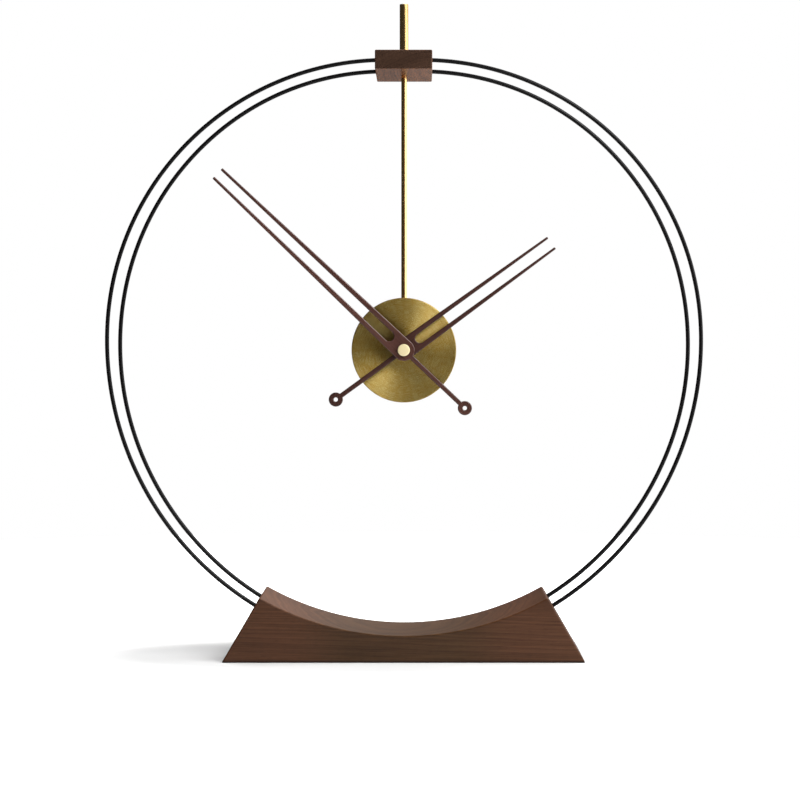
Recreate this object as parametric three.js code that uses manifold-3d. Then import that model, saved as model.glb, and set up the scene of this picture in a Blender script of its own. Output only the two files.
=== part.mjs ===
// Standing clock: two steel hoops rise from a walnut foot to a walnut block, and a brass rod
// hangs the round clock case in the middle of them. A quartz movement in the case turns two
// forked walnut hands. Millimetres, +Z up, the front faces -Y, and the origin is the middle of
// the foot's underside. Angles on the clock face are in degrees, clockwise from twelve.

import * as THREE from "three";
import { mergeVertices } from "three/addons/utils/BufferGeometryUtils.js";
import Module from "manifold-3d";

const wasm = await Module();
wasm.setup();

// Clearances
const SEAT_GAP = 0.2;
const SOCKET_GAP = 0.3;
const BORE_GAP = 0.25;
const PIVOT_GAP = 0.2;

// How far a cutting shape runs past the face it opens, and how far two joined shapes overlap
const OVERSHOOT = 1;
const JOIN_OVERLAP = 0.1;

// Walnut foot
const BASE_LENGTH = 297.6;
const BASE_TOP_LENGTH = 235.8;
const BASE_HEIGHT = 53.2;
const BASE_WAIST = 22.2;
const BASE_DEPTH = 90;
const BASE_EDGE = 1;

// Walnut block at the top
const BLOCK_LENGTH = 47;
const BLOCK_HEIGHT = 15.7;
const BLOCK_DEPTH = 90;
const BLOCK_EDGE = 0.7;
const BLOCK_TOP = 501.2;

// Steel hoops, each of a left and a right bent rod
const HOOP_ROD = 3.5;
const SOCKET_DEPTH = 11;
const OUTER_HOOP_DROP = 2.7;
const OUTER_HOOP_LEVEL = 15;
const OUTER_HOOP_RADIUS = 233.7;
const OUTER_HOOP_TURN = 87.5;
const OUTER_HOOP_ENTRY = 41.7;

// How far the inner hoop runs inside the outer one, at equal steps from the block to the foot
const HOOP_SPACING_TOP = 9.6;
const HOOP_SPACING_SHOULDER = 10;
const HOOP_SPACING_UPPER_SIDE = 11.2;
const HOOP_SPACING_SIDE = 11.5;
const HOOP_SPACING_LOWER_SIDE = 10.4;
const HOOP_SPACING_HAUNCH = 9.9;
const HOOP_SPACING_FOOT = 9.1;

// Brass rods
const HANGER_DIAMETER = 4.6;
const HANGER_LENGTH = 186.5;
const HANGER_SCREW = 3;
const HANGER_SCREW_LENGTH = 6;
const FINIAL_DIAMETER = 7.3;
const FINIAL_LENGTH = 43.8;
const FINIAL_EDGE = 0.4;
const FINIAL_BORE_DEPTH = 9;
const ROD_NUT_WIDTH = 5.5;
const ROD_NUT_HEIGHT = 2.4;

// Brass case
const CASE_DIAMETER = 87;
const CASE_DEPTH = 30;
const CASE_WALL = 1.6;
const CASE_FACE = 1.6;
const CASE_EDGE = 0.6;

// Hands
const HAND_THICKNESS = 2.2;
const HAND_EDGE = 0.5;
const HAND_SPACING = 1.5;
const TAIL_RING_PLACE = 69.6;
const TAIL_RING_DIAMETER = 11.8;
const TAIL_RING_HOLE = 3.4;
const MINUTE_HAND_ANGLE = -46.5;
const MINUTE_HAND_LENGTH = 212.4;
const MINUTE_HUB_DIAMETER = 18;
const MINUTE_TIP_WIDTH = 12.1;
const MINUTE_PRONG_TIP = 2.35;
const MINUTE_SLOT_WIDTH = 8;
const MINUTE_SLOT_START = 12.7;
const MINUTE_TAIL_WIDTH = 3.9;
const HOUR_HAND_ANGLE = 54;
const HOUR_HAND_LENGTH = 151.3;
const HOUR_HUB_DIAMETER = 17.2;
const HOUR_TIP_WIDTH = 12.6;
const HOUR_PRONG_TIP = 2;
const HOUR_SLOT_WIDTH = 7.9;
const HOUR_SLOT_START = 12.7;
const HOUR_TAIL_WIDTH = 4;
const HAND_BUSH_WALL = 1.3;
const HAND_BUSH_FLANGE = 0.5;
const CAP_DIAMETER = 10;
const CAP_HEIGHT = 3;
const CAP_BORE_DEPTH = 2.2;
const CAP_EDGE = 0.5;

// Threaded bush that clamps the movement behind the case's face
const BUSH_DIAMETER = 8;
const BUSH_FLANGE_DIAMETER = 10.6;
const BUSH_FLANGE = 0.8;
const BUSH_STANDOUT = 0.5;
const FACE_NUT_WIDTH = 11;
const FACE_NUT_HEIGHT = 2;
const FACE_WASHER_DIAMETER = 14.6;
const FACE_WASHER = 0.5;
const RUBBER_WASHER_DIAMETER = 34;
const RUBBER_WASHER = 0.8;

// Movement housing and cover
const HOUSING_SIZE = 56;
const HOUSING_CORNER = 3;
const HOUSING_WALL = 1.2;
const HOUSING_INSIDE = 13.1;
const COVER_THICKNESS = 1.2;
const COVER_PIVOT_DEPTH = 0.7;
const BAY_WALL_TOP = -10.8;
const BAY_WALL = 1;
const BAY_WALL_END_GAP = 2.2;

// Wheel train, with the layers counted from the front
const LAYER_START = 1;
const WHEEL_THICKNESS = 1;
const LAYER_PITCH = 1.4;
const PINION_OVERHANG = 0.3;
const MOTION_MODULE = 0.36;
const CANNON_TEETH = 10;
const MINUTE_WHEEL_TEETH = 30;
const MINUTE_PINION_TEETH = 8;
const HOUR_WHEEL_TEETH = 32;
const KNOB_PINION_TEETH = 10;
const CENTRE_MODULE = 0.37;
const CENTRE_WHEEL_TEETH = 48;
const THIRD_PINION_TEETH = 6;
const THIRD_WHEEL_TEETH = 45;
const FOURTH_PINION_TEETH = 6;
const FOURTH_MODULE = 0.48;
const FOURTH_WHEEL_TEETH = 36;
const FIFTH_PINION_TEETH = 6;
const ROTOR_MODULE = 0.34;
const FIFTH_WHEEL_TEETH = 30;
const ROTOR_PINION_TEETH = 6;
const THIRD_ARBOR_LINE = 150;
const FIFTH_ARBOR_LINE = 20;
const ROTOR_LINE = 60;
const MINUTE_WHEEL_LINE = 85;
const KNOB_LINE = 95;

// Shafts
const MINUTE_ARBOR = 3.4;
const CANNON_NECK = 2.6;
const HOUR_TUBE_WALL = 0.55;
const WHEEL_ARBOR = 1;
const WHEEL_PIVOT = 0.7;
const PIVOT_LENGTH = 1.2;
const BOSS_DIAMETER = 2.4;
const MINUTE_WHEEL_POST = 1;
const FOURTH_PIVOT = 1.1;
const FOURTH_PIVOT_LENGTH = 2.4;
const KNOB_SHAFT = 2.4;
const KNOB_DIAMETER = 12;
const KNOB_HEIGHT = 3;
const KNOB_FLUTES = 18;
const KNOB_FLUTE_DEPTH = 0.5;
const KNOB_RIB_SHARE = 0.6;

// Stepping motor
const MAGNET_DIAMETER = 6;
const MAGNET_LENGTH = 2.4;
const MAGNET_WHEEL_GAP = 0.4;
const STATOR_SETBACK = 0.3;
const STATOR_THICKNESS = 0.8;
const STATOR_GAP = 0.35;
const STATOR_NECK = 1;
const STATOR_LEG = 4;
const COIL_LENGTH = 13;
const COIL_PLACE = 13;
const BOBBIN_DIAMETER = 6.4;
const BOBBIN_FLANGE = 0.8;
const BOBBIN_BARREL = 3;
const WINDING_DIAMETER = 5.9;
const CORE_WIDTH = 1.4;
const CORE_THICKNESS = 0.8;
const STAKE_DIAMETER = 1.4;
const STAKE_BOSS = 3;

// Circuit board at the top left of the movement, placed from the pivot
const BOARD_LEFT = -25.3;
const BOARD_RIGHT = -3.6;
const BOARD_LOW = 14.6;
const BOARD_HIGH = 25;
const BOARD_THICKNESS = 0.8;
const BOARD_STAKE_INSET = 2;
const CRYSTAL_DIAMETER = 2;
const CRYSTAL_LENGTH = 6;
const CHIP_DIAMETER = 5;
const CHIP_INSET = 7;
const CHIP_HEIGHT = 1.1;

// Battery and its leaf contacts
const BATTERY_DIAMETER = 14.2;
const BATTERY_LENGTH = 49.4;
const BATTERY_NUB_DIAMETER = 5.4;
const BATTERY_NUB_HEIGHT = 1;
const BATTERY_EDGE = 0.6;
const CONTACT_THICKNESS = 0.4;
const CONTACT_WIDTH = 6;
const CONTACT_BOW = 0.9;

// Facets of round shapes
const ROD_SIDES = 8;
const ROD_STEPS = 40;
const CASE_SIDES = 48;
const BATTERY_SIDES = 20;
const TURNED_SIDES = 16;
const SMALL_SIDES = 12;
const PIVOT_SIDES = 8;
const BASE_HOLLOW_STEPS = 28;
const CORNER_STEPS = 4;
const HUB_STEPS = 8;
const TAIL_RING_STEPS = 22;
const SLOT_STEPS = 10;
const DOME_STEPS = 3;

const degrees = THREE.MathUtils.degToRad;

function finish(color, roughness, metalness) {
  return new THREE.MeshStandardMaterial({ color, roughness, metalness });
}

const walnut = () => finish(0x4b3226, 0.55, 0);
const handWalnut = () => finish(0x462d2a, 0.5, 0);
const blackSteel = () => finish(0x17171a, 0.4, 0.6);
const brass = () => finish(0xb59a5b, 0.32, 1);
const paleBrass = () => finish(0xe6d6a4, 0.3, 1);
const blackPlastic = () => finish(0x151517, 0.6, 0);
const whitePlastic = () => finish(0xe8e6df, 0.5, 0);
const rubber = () => finish(0x101010, 0.9, 0);
const steel = () => finish(0xb9bcc0, 0.3, 1);
const copper = () => finish(0xa4552a, 0.4, 1);
const boardGreen = () => finish(0x1f5a38, 0.6, 0);
const magnet = () => finish(0x3a3a3d, 0.5, 0.8);
const wrapper = () => finish(0x5b6470, 0.35, 0.4);

function piece(name, geometry, material) {
  const mesh = new THREE.Mesh(geometry, material);
  mesh.name = name;
  return mesh;
}

// A closed mesh as a solid. Triangles that a lathe profile closes up on its axis are left out.
function solid(geometry) {
  const bare = geometry.clone();
  bare.deleteAttribute("normal");
  bare.deleteAttribute("uv");
  const merged = mergeVertices(bare, 1e-4);
  const corners = merged.index.array;
  const triangles = [];
  for (let i = 0; i < corners.length; i += 3) {
    const [a, b, c] = corners.slice(i, i + 3);
    if (a !== b && b !== c && a !== c) {
      triangles.push(a, b, c);
    }
  }
  return new wasm.Manifold(new wasm.Mesh({
    numProp: 3,
    vertProperties: Float32Array.from(merged.attributes.position.array),
    triVerts: Uint32Array.from(triangles),
  }));
}

function geometryOf(shape) {
  const mesh = shape.getMesh();
  const geometry = new THREE.BufferGeometry();
  geometry.setAttribute("position", new THREE.BufferAttribute(mesh.vertProperties, 3));
  geometry.setIndex(new THREE.BufferAttribute(mesh.triVerts, 1));
  geometry.computeVertexNormals();
  return geometry;
}

function joined(geometries) {
  return geometries.map(solid).reduce((whole, next) => whole.add(next));
}

function cut(whole, tools) {
  return tools.map(solid).reduce((left, tool) => left.subtract(tool), whole);
}

function polar(centre, radius, angle) {
  return new THREE.Vector2(radius, 0).rotateAround(new THREE.Vector2(), angle).add(centre);
}

function arc(x, y, radius, from, to, steps) {
  const centre = new THREE.Vector2(x, y);
  const points = [];
  for (let i = 0; i <= steps; i += 1) {
    points.push(polar(centre, radius, from + ((to - from) * i) / steps));
  }
  return points;
}

function circlePath(x, y, radius, sides) {
  return new THREE.Path(arc(x, y, radius, 0, 2 * Math.PI * (1 - 1 / sides), sides - 1));
}

// A plate whose outline is drawn as seen from the front. Its faces lie at two depths.
function plate(outline, front, back, edge = 0, holes = []) {
  const shape = new THREE.Shape(outline);
  shape.holes.push(...holes);
  const geometry = new THREE.ExtrudeGeometry(shape, {
    depth: back - front - 2 * edge,
    bevelEnabled: edge > 0,
    bevelThickness: edge,
    bevelSize: edge,
    bevelOffset: -edge,
    bevelSegments: 1,
  });
  geometry.rotateX(Math.PI / 2);
  geometry.translate(0, back - edge, 0);
  return geometry;
}

// A round bar that runs from front to back
function pin(x, z, diameter, front, back, sides = PIVOT_SIDES) {
  const geometry = new THREE.CylinderGeometry(diameter / 2, diameter / 2, back - front, sides);
  geometry.translate(x, (front + back) / 2, z);
  return geometry;
}

// A turned shape round an axis that runs from front to back. The profile holds radius and depth.
function turned(profile, x, z, sides = TURNED_SIDES) {
  const points = profile.map(([radius, depth]) => new THREE.Vector2(radius, depth));
  const geometry = new THREE.LatheGeometry(points, sides);
  geometry.translate(x, 0, z);
  return geometry;
}

// A turned shape round an upright axis. The profile holds radius and height.
function turnedUpright(profile, sides = TURNED_SIDES) {
  const points = profile.map(([radius, height]) => new THREE.Vector2(radius, height));
  const geometry = new THREE.LatheGeometry(points, sides);
  geometry.rotateX(Math.PI / 2);
  return geometry;
}

function ring(outer, inner, front, back, x, z, sides = TURNED_SIDES) {
  const outside = outer / 2;
  const inside = inner / 2;
  return turned(
    [[inside, front], [outside, front], [outside, back], [inside, back], [inside, front]],
    x, z, sides,
  );
}

function roundedRectangle(left, low, right, high, radius, steps = CORNER_STEPS) {
  const quarter = Math.PI / 2;
  return [
    ...arc(right - radius, low + radius, radius, -quarter, 0, steps),
    ...arc(right - radius, high - radius, radius, 0, quarter, steps),
    ...arc(left + radius, high - radius, radius, quarter, 2 * quarter, steps),
    ...arc(left + radius, low + radius, radius, 2 * quarter, 3 * quarter, steps),
  ];
}

function rectangle(left, low, right, high) {
  return [
    new THREE.Vector2(left, low),
    new THREE.Vector2(right, low),
    new THREE.Vector2(right, high),
    new THREE.Vector2(left, high),
  ];
}

function hexagon(width, x, z) {
  return arc(x, z, width / Math.sqrt(3), 0, (5 * Math.PI) / 3, 5);
}

// The angle at which the line from a point touches a circle, on the point's left
function touchAngle(point, centre, radius) {
  const away = point.clone().sub(centre);
  return away.angle() + Math.acos(radius / away.length());
}

// Foot

const baseHalf = BASE_LENGTH / 2;
const baseTopHalf = BASE_TOP_LENGTH / 2;
const hollowRise = BASE_HEIGHT - BASE_WAIST;
const hollowRadius = (baseTopHalf ** 2 + hollowRise ** 2) / (2 * hollowRise);
const hollowCentre = BASE_WAIST + hollowRadius;

function endFaceAt(height) {
  return baseHalf + ((baseTopHalf - baseHalf) * height) / BASE_HEIGHT;
}

function makeBase(sockets) {
  const reach = Math.asin(baseTopHalf / hollowRadius);
  const outline = [
    new THREE.Vector2(-baseHalf, 0),
    new THREE.Vector2(baseHalf, 0),
    ...arc(
      0, hollowCentre, hollowRadius, reach - Math.PI / 2, -reach - Math.PI / 2, BASE_HOLLOW_STEPS,
    ),
  ];
  const block = plate(outline, -BASE_DEPTH / 2, BASE_DEPTH / 2, BASE_EDGE);
  return piece("base_block", geometryOf(cut(solid(block), sockets)), walnut());
}

// Hoops

class FrontArc extends THREE.Curve {
  constructor(x, z, radius, from, to) {
    super();
    Object.assign(this, { x, z, radius, from, to });
  }

  getPoint(t, target = new THREE.Vector3()) {
    const angle = this.from + (this.to - this.from) * t;
    return target.set(
      this.x + this.radius * Math.cos(angle),
      0,
      this.z + this.radius * Math.sin(angle),
    );
  }
}

// The right half of a hoop: level out of the block, round a first arc, then round a flatter arc
// that meets the foot's end face at the entry height, and straight on into its socket
function hoopPath(drop, level, radius, turn, entry) {
  const top = BLOCK_TOP - drop;
  const start = new THREE.Vector3(BLOCK_LENGTH / 2 - SOCKET_DEPTH, 0, top);
  const bend = new FrontArc(level, top - radius, radius, Math.PI / 2, Math.PI / 2 - degrees(turn));
  const outward = new THREE.Vector3(Math.cos(bend.to), 0, Math.sin(bend.to));
  const change = bend.getPoint(1);
  const foot = new THREE.Vector3(endFaceAt(entry), 0, entry);
  const chord = foot.clone().sub(change);
  const flatRadius = -chord.lengthSq() / (2 * outward.dot(chord));
  const centre = change.clone().addScaledVector(outward, -flatRadius);
  const end = Math.atan2(foot.z - centre.z, foot.x - centre.x);
  const flat = new FrontArc(centre.x, centre.z, flatRadius, bend.to, end);
  const inward = new THREE.Vector3(Math.sin(end), 0, -Math.cos(end));
  const path = new THREE.CurvePath();
  path.add(new THREE.LineCurve3(start, bend.getPoint(0)));
  path.add(bend);
  path.add(flat);
  path.add(new THREE.LineCurve3(foot, foot.clone().addScaledVector(inward, SOCKET_DEPTH)));
  return { path, foot, inward, top };
}

// A curve that runs inside another one in the front plane. The spacings lie at equal steps, and
// the curve covers the shares of them from one to the other.
class SpacedCurve extends THREE.Curve {
  constructor(curve, spacings, from, to) {
    super();
    const points = spacings.map((spacing, i) => new THREE.Vector2(i, spacing));
    Object.assign(this, { curve, spacing: new THREE.SplineCurve(points), from, to });
  }

  getPoint(t, target = new THREE.Vector3()) {
    const tangent = this.curve.getTangent(t);
    const spacing = this.spacing.getPoint(this.from + (this.to - this.from) * t).y;
    this.curve.getPoint(t, target);
    return target.add(new THREE.Vector3(tangent.z, 0, -tangent.x).multiplyScalar(spacing));
  }
}

// The right half of the hoop inside another one
function hoopInside(hoop, spacings) {
  const [level, bend, flat, socket] = hoop.path.curves;
  const change = bend.getLength() / (bend.getLength() + flat.getLength());
  const path = new THREE.CurvePath();
  path.add(new SpacedCurve(level, spacings, 0, 0));
  path.add(new SpacedCurve(bend, spacings, 0, change));
  path.add(new SpacedCurve(flat, spacings, change, 1));
  path.add(new SpacedCurve(socket, spacings, 1, 1));
  return {
    path, foot: path.curves[3].getPoint(0), inward: hoop.inward, top: hoop.top - spacings[0],
  };
}

function hoopRod(path, name) {
  const section = new THREE.Shape(circlePath(0, 0, HOOP_ROD / 2, ROD_SIDES).getPoints());
  const geometry = new THREE.ExtrudeGeometry(section, { steps: ROD_STEPS, extrudePath: path });
  return piece(name, geometry, blackSteel());
}

function mirrored(geometry) {
  const copy = mergeVertices(geometry);
  copy.scale(-1, 1, 1);
  const corners = copy.index.array;
  for (let i = 0; i < corners.length; i += 3) {
    [corners[i], corners[i + 1]] = [corners[i + 1], corners[i]];
  }
  copy.computeVertexNormals();
  return copy;
}

// A drilled hole a little wider and deeper than the rod, and as long again outside the face
function socketTool(from, direction) {
  const depth = SOCKET_DEPTH + SOCKET_GAP;
  const radius = HOOP_ROD / 2 + SOCKET_GAP;
  const tool = new THREE.CylinderGeometry(radius, radius, 2 * depth, ROD_SIDES);
  const up = new THREE.Vector3(0, 1, 0);
  tool.applyQuaternion(new THREE.Quaternion().setFromUnitVectors(up, direction));
  tool.translate(from.x, from.y, from.z);
  return tool;
}

// Block, rods and case

const caseTop = BLOCK_TOP - BLOCK_HEIGHT - HANGER_LENGTH;
const pivotZ = caseTop - CASE_DIAMETER / 2;
const caseInside = CASE_DIAMETER / 2 - CASE_WALL;

function makeBlock(hoops) {
  const half = BLOCK_LENGTH / 2;
  const low = BLOCK_TOP - BLOCK_HEIGHT;
  const outline = roundedRectangle(-half, low, half, BLOCK_TOP, BLOCK_EDGE, CORNER_STEPS / 2);
  const block = plate(outline, -BLOCK_DEPTH / 2, BLOCK_DEPTH / 2, BLOCK_EDGE);
  const along = new THREE.Vector3(1, 0, 0);
  const tools = hoops.flatMap((hoop) => [-1, 1].map(
    (side) => socketTool(new THREE.Vector3(side * half, 0, hoop.top), along),
  ));
  const bore = HANGER_DIAMETER / 2 + BORE_GAP;
  const rodHole = new THREE.CylinderGeometry(bore, bore, 2 * BLOCK_HEIGHT, TURNED_SIDES);
  rodHole.rotateX(Math.PI / 2);
  rodHole.translate(0, 0, BLOCK_TOP - BLOCK_HEIGHT / 2);
  return piece("top_block", geometryOf(cut(solid(block), [...tools, rodHole])), walnut());
}

function makeHanger() {
  const radius = HANGER_DIAMETER / 2;
  const screw = HANGER_SCREW / 2;
  const low = caseTop - HANGER_SCREW_LENGTH;
  const shoulder = caseTop + SEAT_GAP;
  const high = BLOCK_TOP + FINIAL_BORE_DEPTH - SEAT_GAP;
  const profile = [
    [0, low],
    [screw, low],
    [screw, shoulder],
    [radius, shoulder],
    [radius, high],
    [0, high],
  ];
  return piece("hanger_rod", turnedUpright(profile), brass());
}

function makeFinial() {
  const radius = FINIAL_DIAMETER / 2;
  const bore = HANGER_DIAMETER / 2 + BORE_GAP;
  const low = BLOCK_TOP + SEAT_GAP;
  const high = BLOCK_TOP + FINIAL_LENGTH;
  const profile = [
    [0, BLOCK_TOP + FINIAL_BORE_DEPTH],
    [bore, BLOCK_TOP + FINIAL_BORE_DEPTH],
    [bore, low],
    [radius, low],
    [radius, high - FINIAL_EDGE],
    [radius - FINIAL_EDGE, high],
    [0, high],
  ];
  return piece("finial_rod", turnedUpright(profile), brass());
}

function makeRodNut() {
  const corner = ROD_NUT_WIDTH / Math.sqrt(3);
  const high = pivotZ + Math.sqrt(caseInside ** 2 - corner ** 2) - SEAT_GAP;
  const shape = new THREE.Shape(hexagon(ROD_NUT_WIDTH, 0, 0));
  shape.holes.push(circlePath(0, 0, HANGER_SCREW / 2 + BORE_GAP, TURNED_SIDES));
  const nut = new THREE.ExtrudeGeometry(shape, { depth: ROD_NUT_HEIGHT, bevelEnabled: false });
  nut.translate(0, 0, high - ROD_NUT_HEIGHT);
  return piece("rod_nut", nut, brass());
}

const faceFront = -CASE_DEPTH / 2;
const faceBack = faceFront + CASE_FACE;

function makeCase() {
  const outside = CASE_DIAMETER / 2;
  const bore = BUSH_DIAMETER / 2 + BORE_GAP;
  const screwBore = HANGER_SCREW / 2 + BORE_GAP;
  const back = CASE_DEPTH / 2;
  const shell = turned([
    [bore, faceFront],
    [outside - CASE_EDGE, faceFront],
    [outside, faceFront + CASE_EDGE],
    [outside, back],
    [caseInside, back],
    [caseInside, faceBack],
    [bore, faceBack],
    [bore, faceFront],
  ], 0, pivotZ, CASE_SIDES);
  const hole = new THREE.CylinderGeometry(screwBore, screwBore, 4 * CASE_WALL, TURNED_SIDES);
  hole.rotateX(Math.PI / 2);
  hole.translate(0, 0, caseTop);
  return piece("case_shell", geometryOf(cut(solid(shell), [hole])), brass());
}

// Depths of the movement, from the case's face backwards

const rubberFront = faceBack + SEAT_GAP;
const housingFront = rubberFront + RUBBER_WASHER + SEAT_GAP;
const trainFront = housingFront + HOUSING_WALL;
const coverFront = trainFront + HOUSING_INSIDE + SEAT_GAP;
const coverBack = coverFront + COVER_THICKNESS;
const pivotBack = coverFront + COVER_PIVOT_DEPTH - PIVOT_GAP;

function layer(number) {
  const front = trainFront + LAYER_START + SEAT_GAP + number * LAYER_PITCH;
  return { front, back: front + WHEEL_THICKNESS };
}

// Depths of the hands, from the case's face forwards

const washerFront = faceFront - SEAT_GAP - FACE_WASHER;
const nutFront = washerFront - SEAT_GAP - FACE_NUT_HEIGHT;
const bushFront = nutFront - BUSH_STANDOUT;
const hourBack = bushFront - SEAT_GAP - HAND_BUSH_FLANGE;
const hourFront = hourBack - HAND_THICKNESS;
const hourTubeFront = hourFront - SEAT_GAP;
const minuteBack = hourFront - HAND_SPACING;
const minuteFront = minuteBack - HAND_THICKNESS;
const capBack = minuteFront - SEAT_GAP;
const capFront = capBack - CAP_HEIGHT;
const arborFront = capBack - CAP_BORE_DEPTH + SEAT_GAP;

// Wheels. A tooth is a straight-sided figure of four points, in modules.

const WHEEL_TOOTH = { addendum: 0.85, dedendum: 1.1, tip: 0.25, root: 0.85 };
const LEAF_TOOTH = { addendum: 0.8, dedendum: 1.1, tip: 0.25, root: 0.5 };
const LEAVES_UP_TO = 12;

function toothOf(teeth) {
  return teeth <= LEAVES_UP_TO ? LEAF_TOOTH : WHEEL_TOOTH;
}

// A gear's outline round a centre, with the middle of one tooth at the phase angle
function gearOutline(teeth, module, phase, centre) {
  const tooth = toothOf(teeth);
  const root = module * (teeth / 2 - tooth.dedendum);
  const tip = module * (teeth / 2 + tooth.addendum);
  const points = [];
  for (let i = 0; i < teeth; i += 1) {
    const middle = phase + (2 * Math.PI * i) / teeth;
    const corners = [[root, -tooth.root], [tip, -tooth.tip], [tip, tooth.tip], [root, tooth.root]];
    for (const [radius, half] of corners) {
      points.push(polar(centre, radius, middle + (half * module) / radius));
    }
  }
  return points;
}

// The phase at which a gear meshes with one that stands at a given phase along a line
function meshPhase(line, phase, teeth, otherTeeth) {
  return line + Math.PI + Math.PI / otherTeeth - ((phase - line) * teeth) / otherTeeth;
}

const pivot = new THREE.Vector2(0, pivotZ);
const centreDistance = (CENTRE_MODULE * (CENTRE_WHEEL_TEETH + THIRD_PINION_TEETH)) / 2;
const thirdModule = (2 * centreDistance) / (THIRD_WHEEL_TEETH + FOURTH_PINION_TEETH);
const fourthDistance = (FOURTH_MODULE * (FOURTH_WHEEL_TEETH + FIFTH_PINION_TEETH)) / 2;
const rotorDistance = (ROTOR_MODULE * (FIFTH_WHEEL_TEETH + ROTOR_PINION_TEETH)) / 2;
const motionDistance = (MOTION_MODULE * (CANNON_TEETH + MINUTE_WHEEL_TEETH)) / 2;
const hourModule = (2 * motionDistance) / (HOUR_WHEEL_TEETH + MINUTE_PINION_TEETH);
const knobDistance = (MOTION_MODULE * (MINUTE_WHEEL_TEETH + KNOB_PINION_TEETH)) / 2;
const thirdLine = degrees(THIRD_ARBOR_LINE);
const fifthLine = degrees(FIFTH_ARBOR_LINE);
const rotorLine = degrees(ROTOR_LINE);
const minuteWheelLine = degrees(MINUTE_WHEEL_LINE);
const knobLine = degrees(KNOB_LINE);
const thirdAt = polar(pivot, centreDistance, thirdLine);
const fifthAt = polar(pivot, fourthDistance, fifthLine);
const rotorAt = polar(fifthAt, rotorDistance, rotorLine);
const minuteWheelAt = polar(pivot, motionDistance, minuteWheelLine);
const knobAt = polar(minuteWheelAt, knobDistance, knobLine);

function gear(teeth, module, phase, centre, front, back) {
  return plate(gearOutline(teeth, module, phase, centre), front, back);
}

function makeMinuteArbor() {
  const centre = layer(2);
  const cannonFront = layer(0).back + SEAT_GAP;
  const cannonBack = centre.front - SEAT_GAP;
  const { x, y: z } = pivot;
  const whole = joined([
    pin(x, z, MINUTE_ARBOR, arborFront, cannonFront, TURNED_SIDES),
    gear(
      CANNON_TEETH, MOTION_MODULE, minuteWheelLine, pivot, cannonFront - JOIN_OVERLAP, cannonBack,
    ),
    pin(x, z, CANNON_NECK, cannonFront, centre.back, TURNED_SIDES),
  ]);
  const bore = pin(
    x, z, FOURTH_PIVOT + 2 * PIVOT_GAP, centre.back - FOURTH_PIVOT_LENGTH, centre.back + OVERSHOOT,
  );
  return piece("minute_arbor", geometryOf(cut(whole, [bore])), brass());
}

function makeCentreWheel() {
  const { front, back } = layer(2);
  const outline = gearOutline(CENTRE_WHEEL_TEETH, CENTRE_MODULE, thirdLine, pivot);
  const bore = circlePath(pivot.x, pivot.y, CANNON_NECK / 2 + PIVOT_GAP, TURNED_SIDES);
  return piece("centre_wheel", plate(outline, front, back, 0, [bore]), brass());
}

function makeHourWheel() {
  const { front, back } = layer(0);
  const { x, y: z } = pivot;
  const line = minuteWheelLine + Math.PI;
  const phase = meshPhase(line, 0, MINUTE_PINION_TEETH, HOUR_WHEEL_TEETH);
  const bore = MINUTE_ARBOR + 2 * BORE_GAP;
  const whole = joined([
    gear(HOUR_WHEEL_TEETH, hourModule, phase, pivot, front, back),
    pin(x, z, bore + 2 * HOUR_TUBE_WALL, hourTubeFront, back - WHEEL_THICKNESS / 2, TURNED_SIDES),
  ]);
  const tool = pin(x, z, bore, hourTubeFront - OVERSHOOT, back + OVERSHOOT, TURNED_SIDES);
  return piece("hour_wheel", geometryOf(cut(whole, [tool])), whitePlastic());
}

const minuteWheelPhase = meshPhase(
  minuteWheelLine, minuteWheelLine, CANNON_TEETH, MINUTE_WHEEL_TEETH,
);

function makeMinuteWheel() {
  const wheel = layer(1);
  const pinion = layer(0);
  const { x, y: z } = minuteWheelAt;
  const whole = joined([
    gear(
      MINUTE_WHEEL_TEETH, MOTION_MODULE, minuteWheelPhase, minuteWheelAt, wheel.front, wheel.back,
    ),
    gear(
      MINUTE_PINION_TEETH, hourModule, 0, minuteWheelAt,
      pinion.front - PINION_OVERHANG, wheel.front + WHEEL_THICKNESS / 2,
    ),
  ]);
  const tool = pin(x, z, MINUTE_WHEEL_POST + 2 * PIVOT_GAP, trainFront, wheel.back + OVERSHOOT);
  return piece("minute_wheel", geometryOf(cut(whole, [tool])), whitePlastic());
}

function knobOutline() {
  const rim = KNOB_DIAMETER / 2;
  const sector = (2 * Math.PI) / KNOB_FLUTES;
  const outline = [];
  for (let i = 0; i < KNOB_FLUTES; i += 1) {
    outline.push(polar(knobAt, rim, sector * i));
    outline.push(polar(knobAt, rim, sector * (i + KNOB_RIB_SHARE)));
    outline.push(polar(knobAt, rim - KNOB_FLUTE_DEPTH, sector * (i + (1 + KNOB_RIB_SHARE) / 2)));
  }
  return outline;
}

function makeSettingKnob() {
  const { front, back } = layer(1);
  const { x, y: z } = knobAt;
  const phase = meshPhase(knobLine, minuteWheelPhase, MINUTE_WHEEL_TEETH, KNOB_PINION_TEETH);
  const knobFront = coverBack + SOCKET_GAP;
  const leafFront = front - PINION_OVERHANG;
  const leafBack = back + PINION_OVERHANG;
  const whole = joined([
    pin(x, z, WHEEL_PIVOT, leafFront - PIVOT_LENGTH, back),
    gear(KNOB_PINION_TEETH, MOTION_MODULE, phase, knobAt, leafFront, leafBack),
    pin(x, z, KNOB_SHAFT, back, knobFront + KNOB_HEIGHT / 2, TURNED_SIDES),
    plate(knobOutline(), knobFront, knobFront + KNOB_HEIGHT),
  ]);
  return piece("setting_knob", geometryOf(whole), blackPlastic());
}

// The depth at which an arbor's shoulder stands in front of a layer
function shoulderOf(number) {
  return layer(number).front - PINION_OVERHANG;
}

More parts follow.
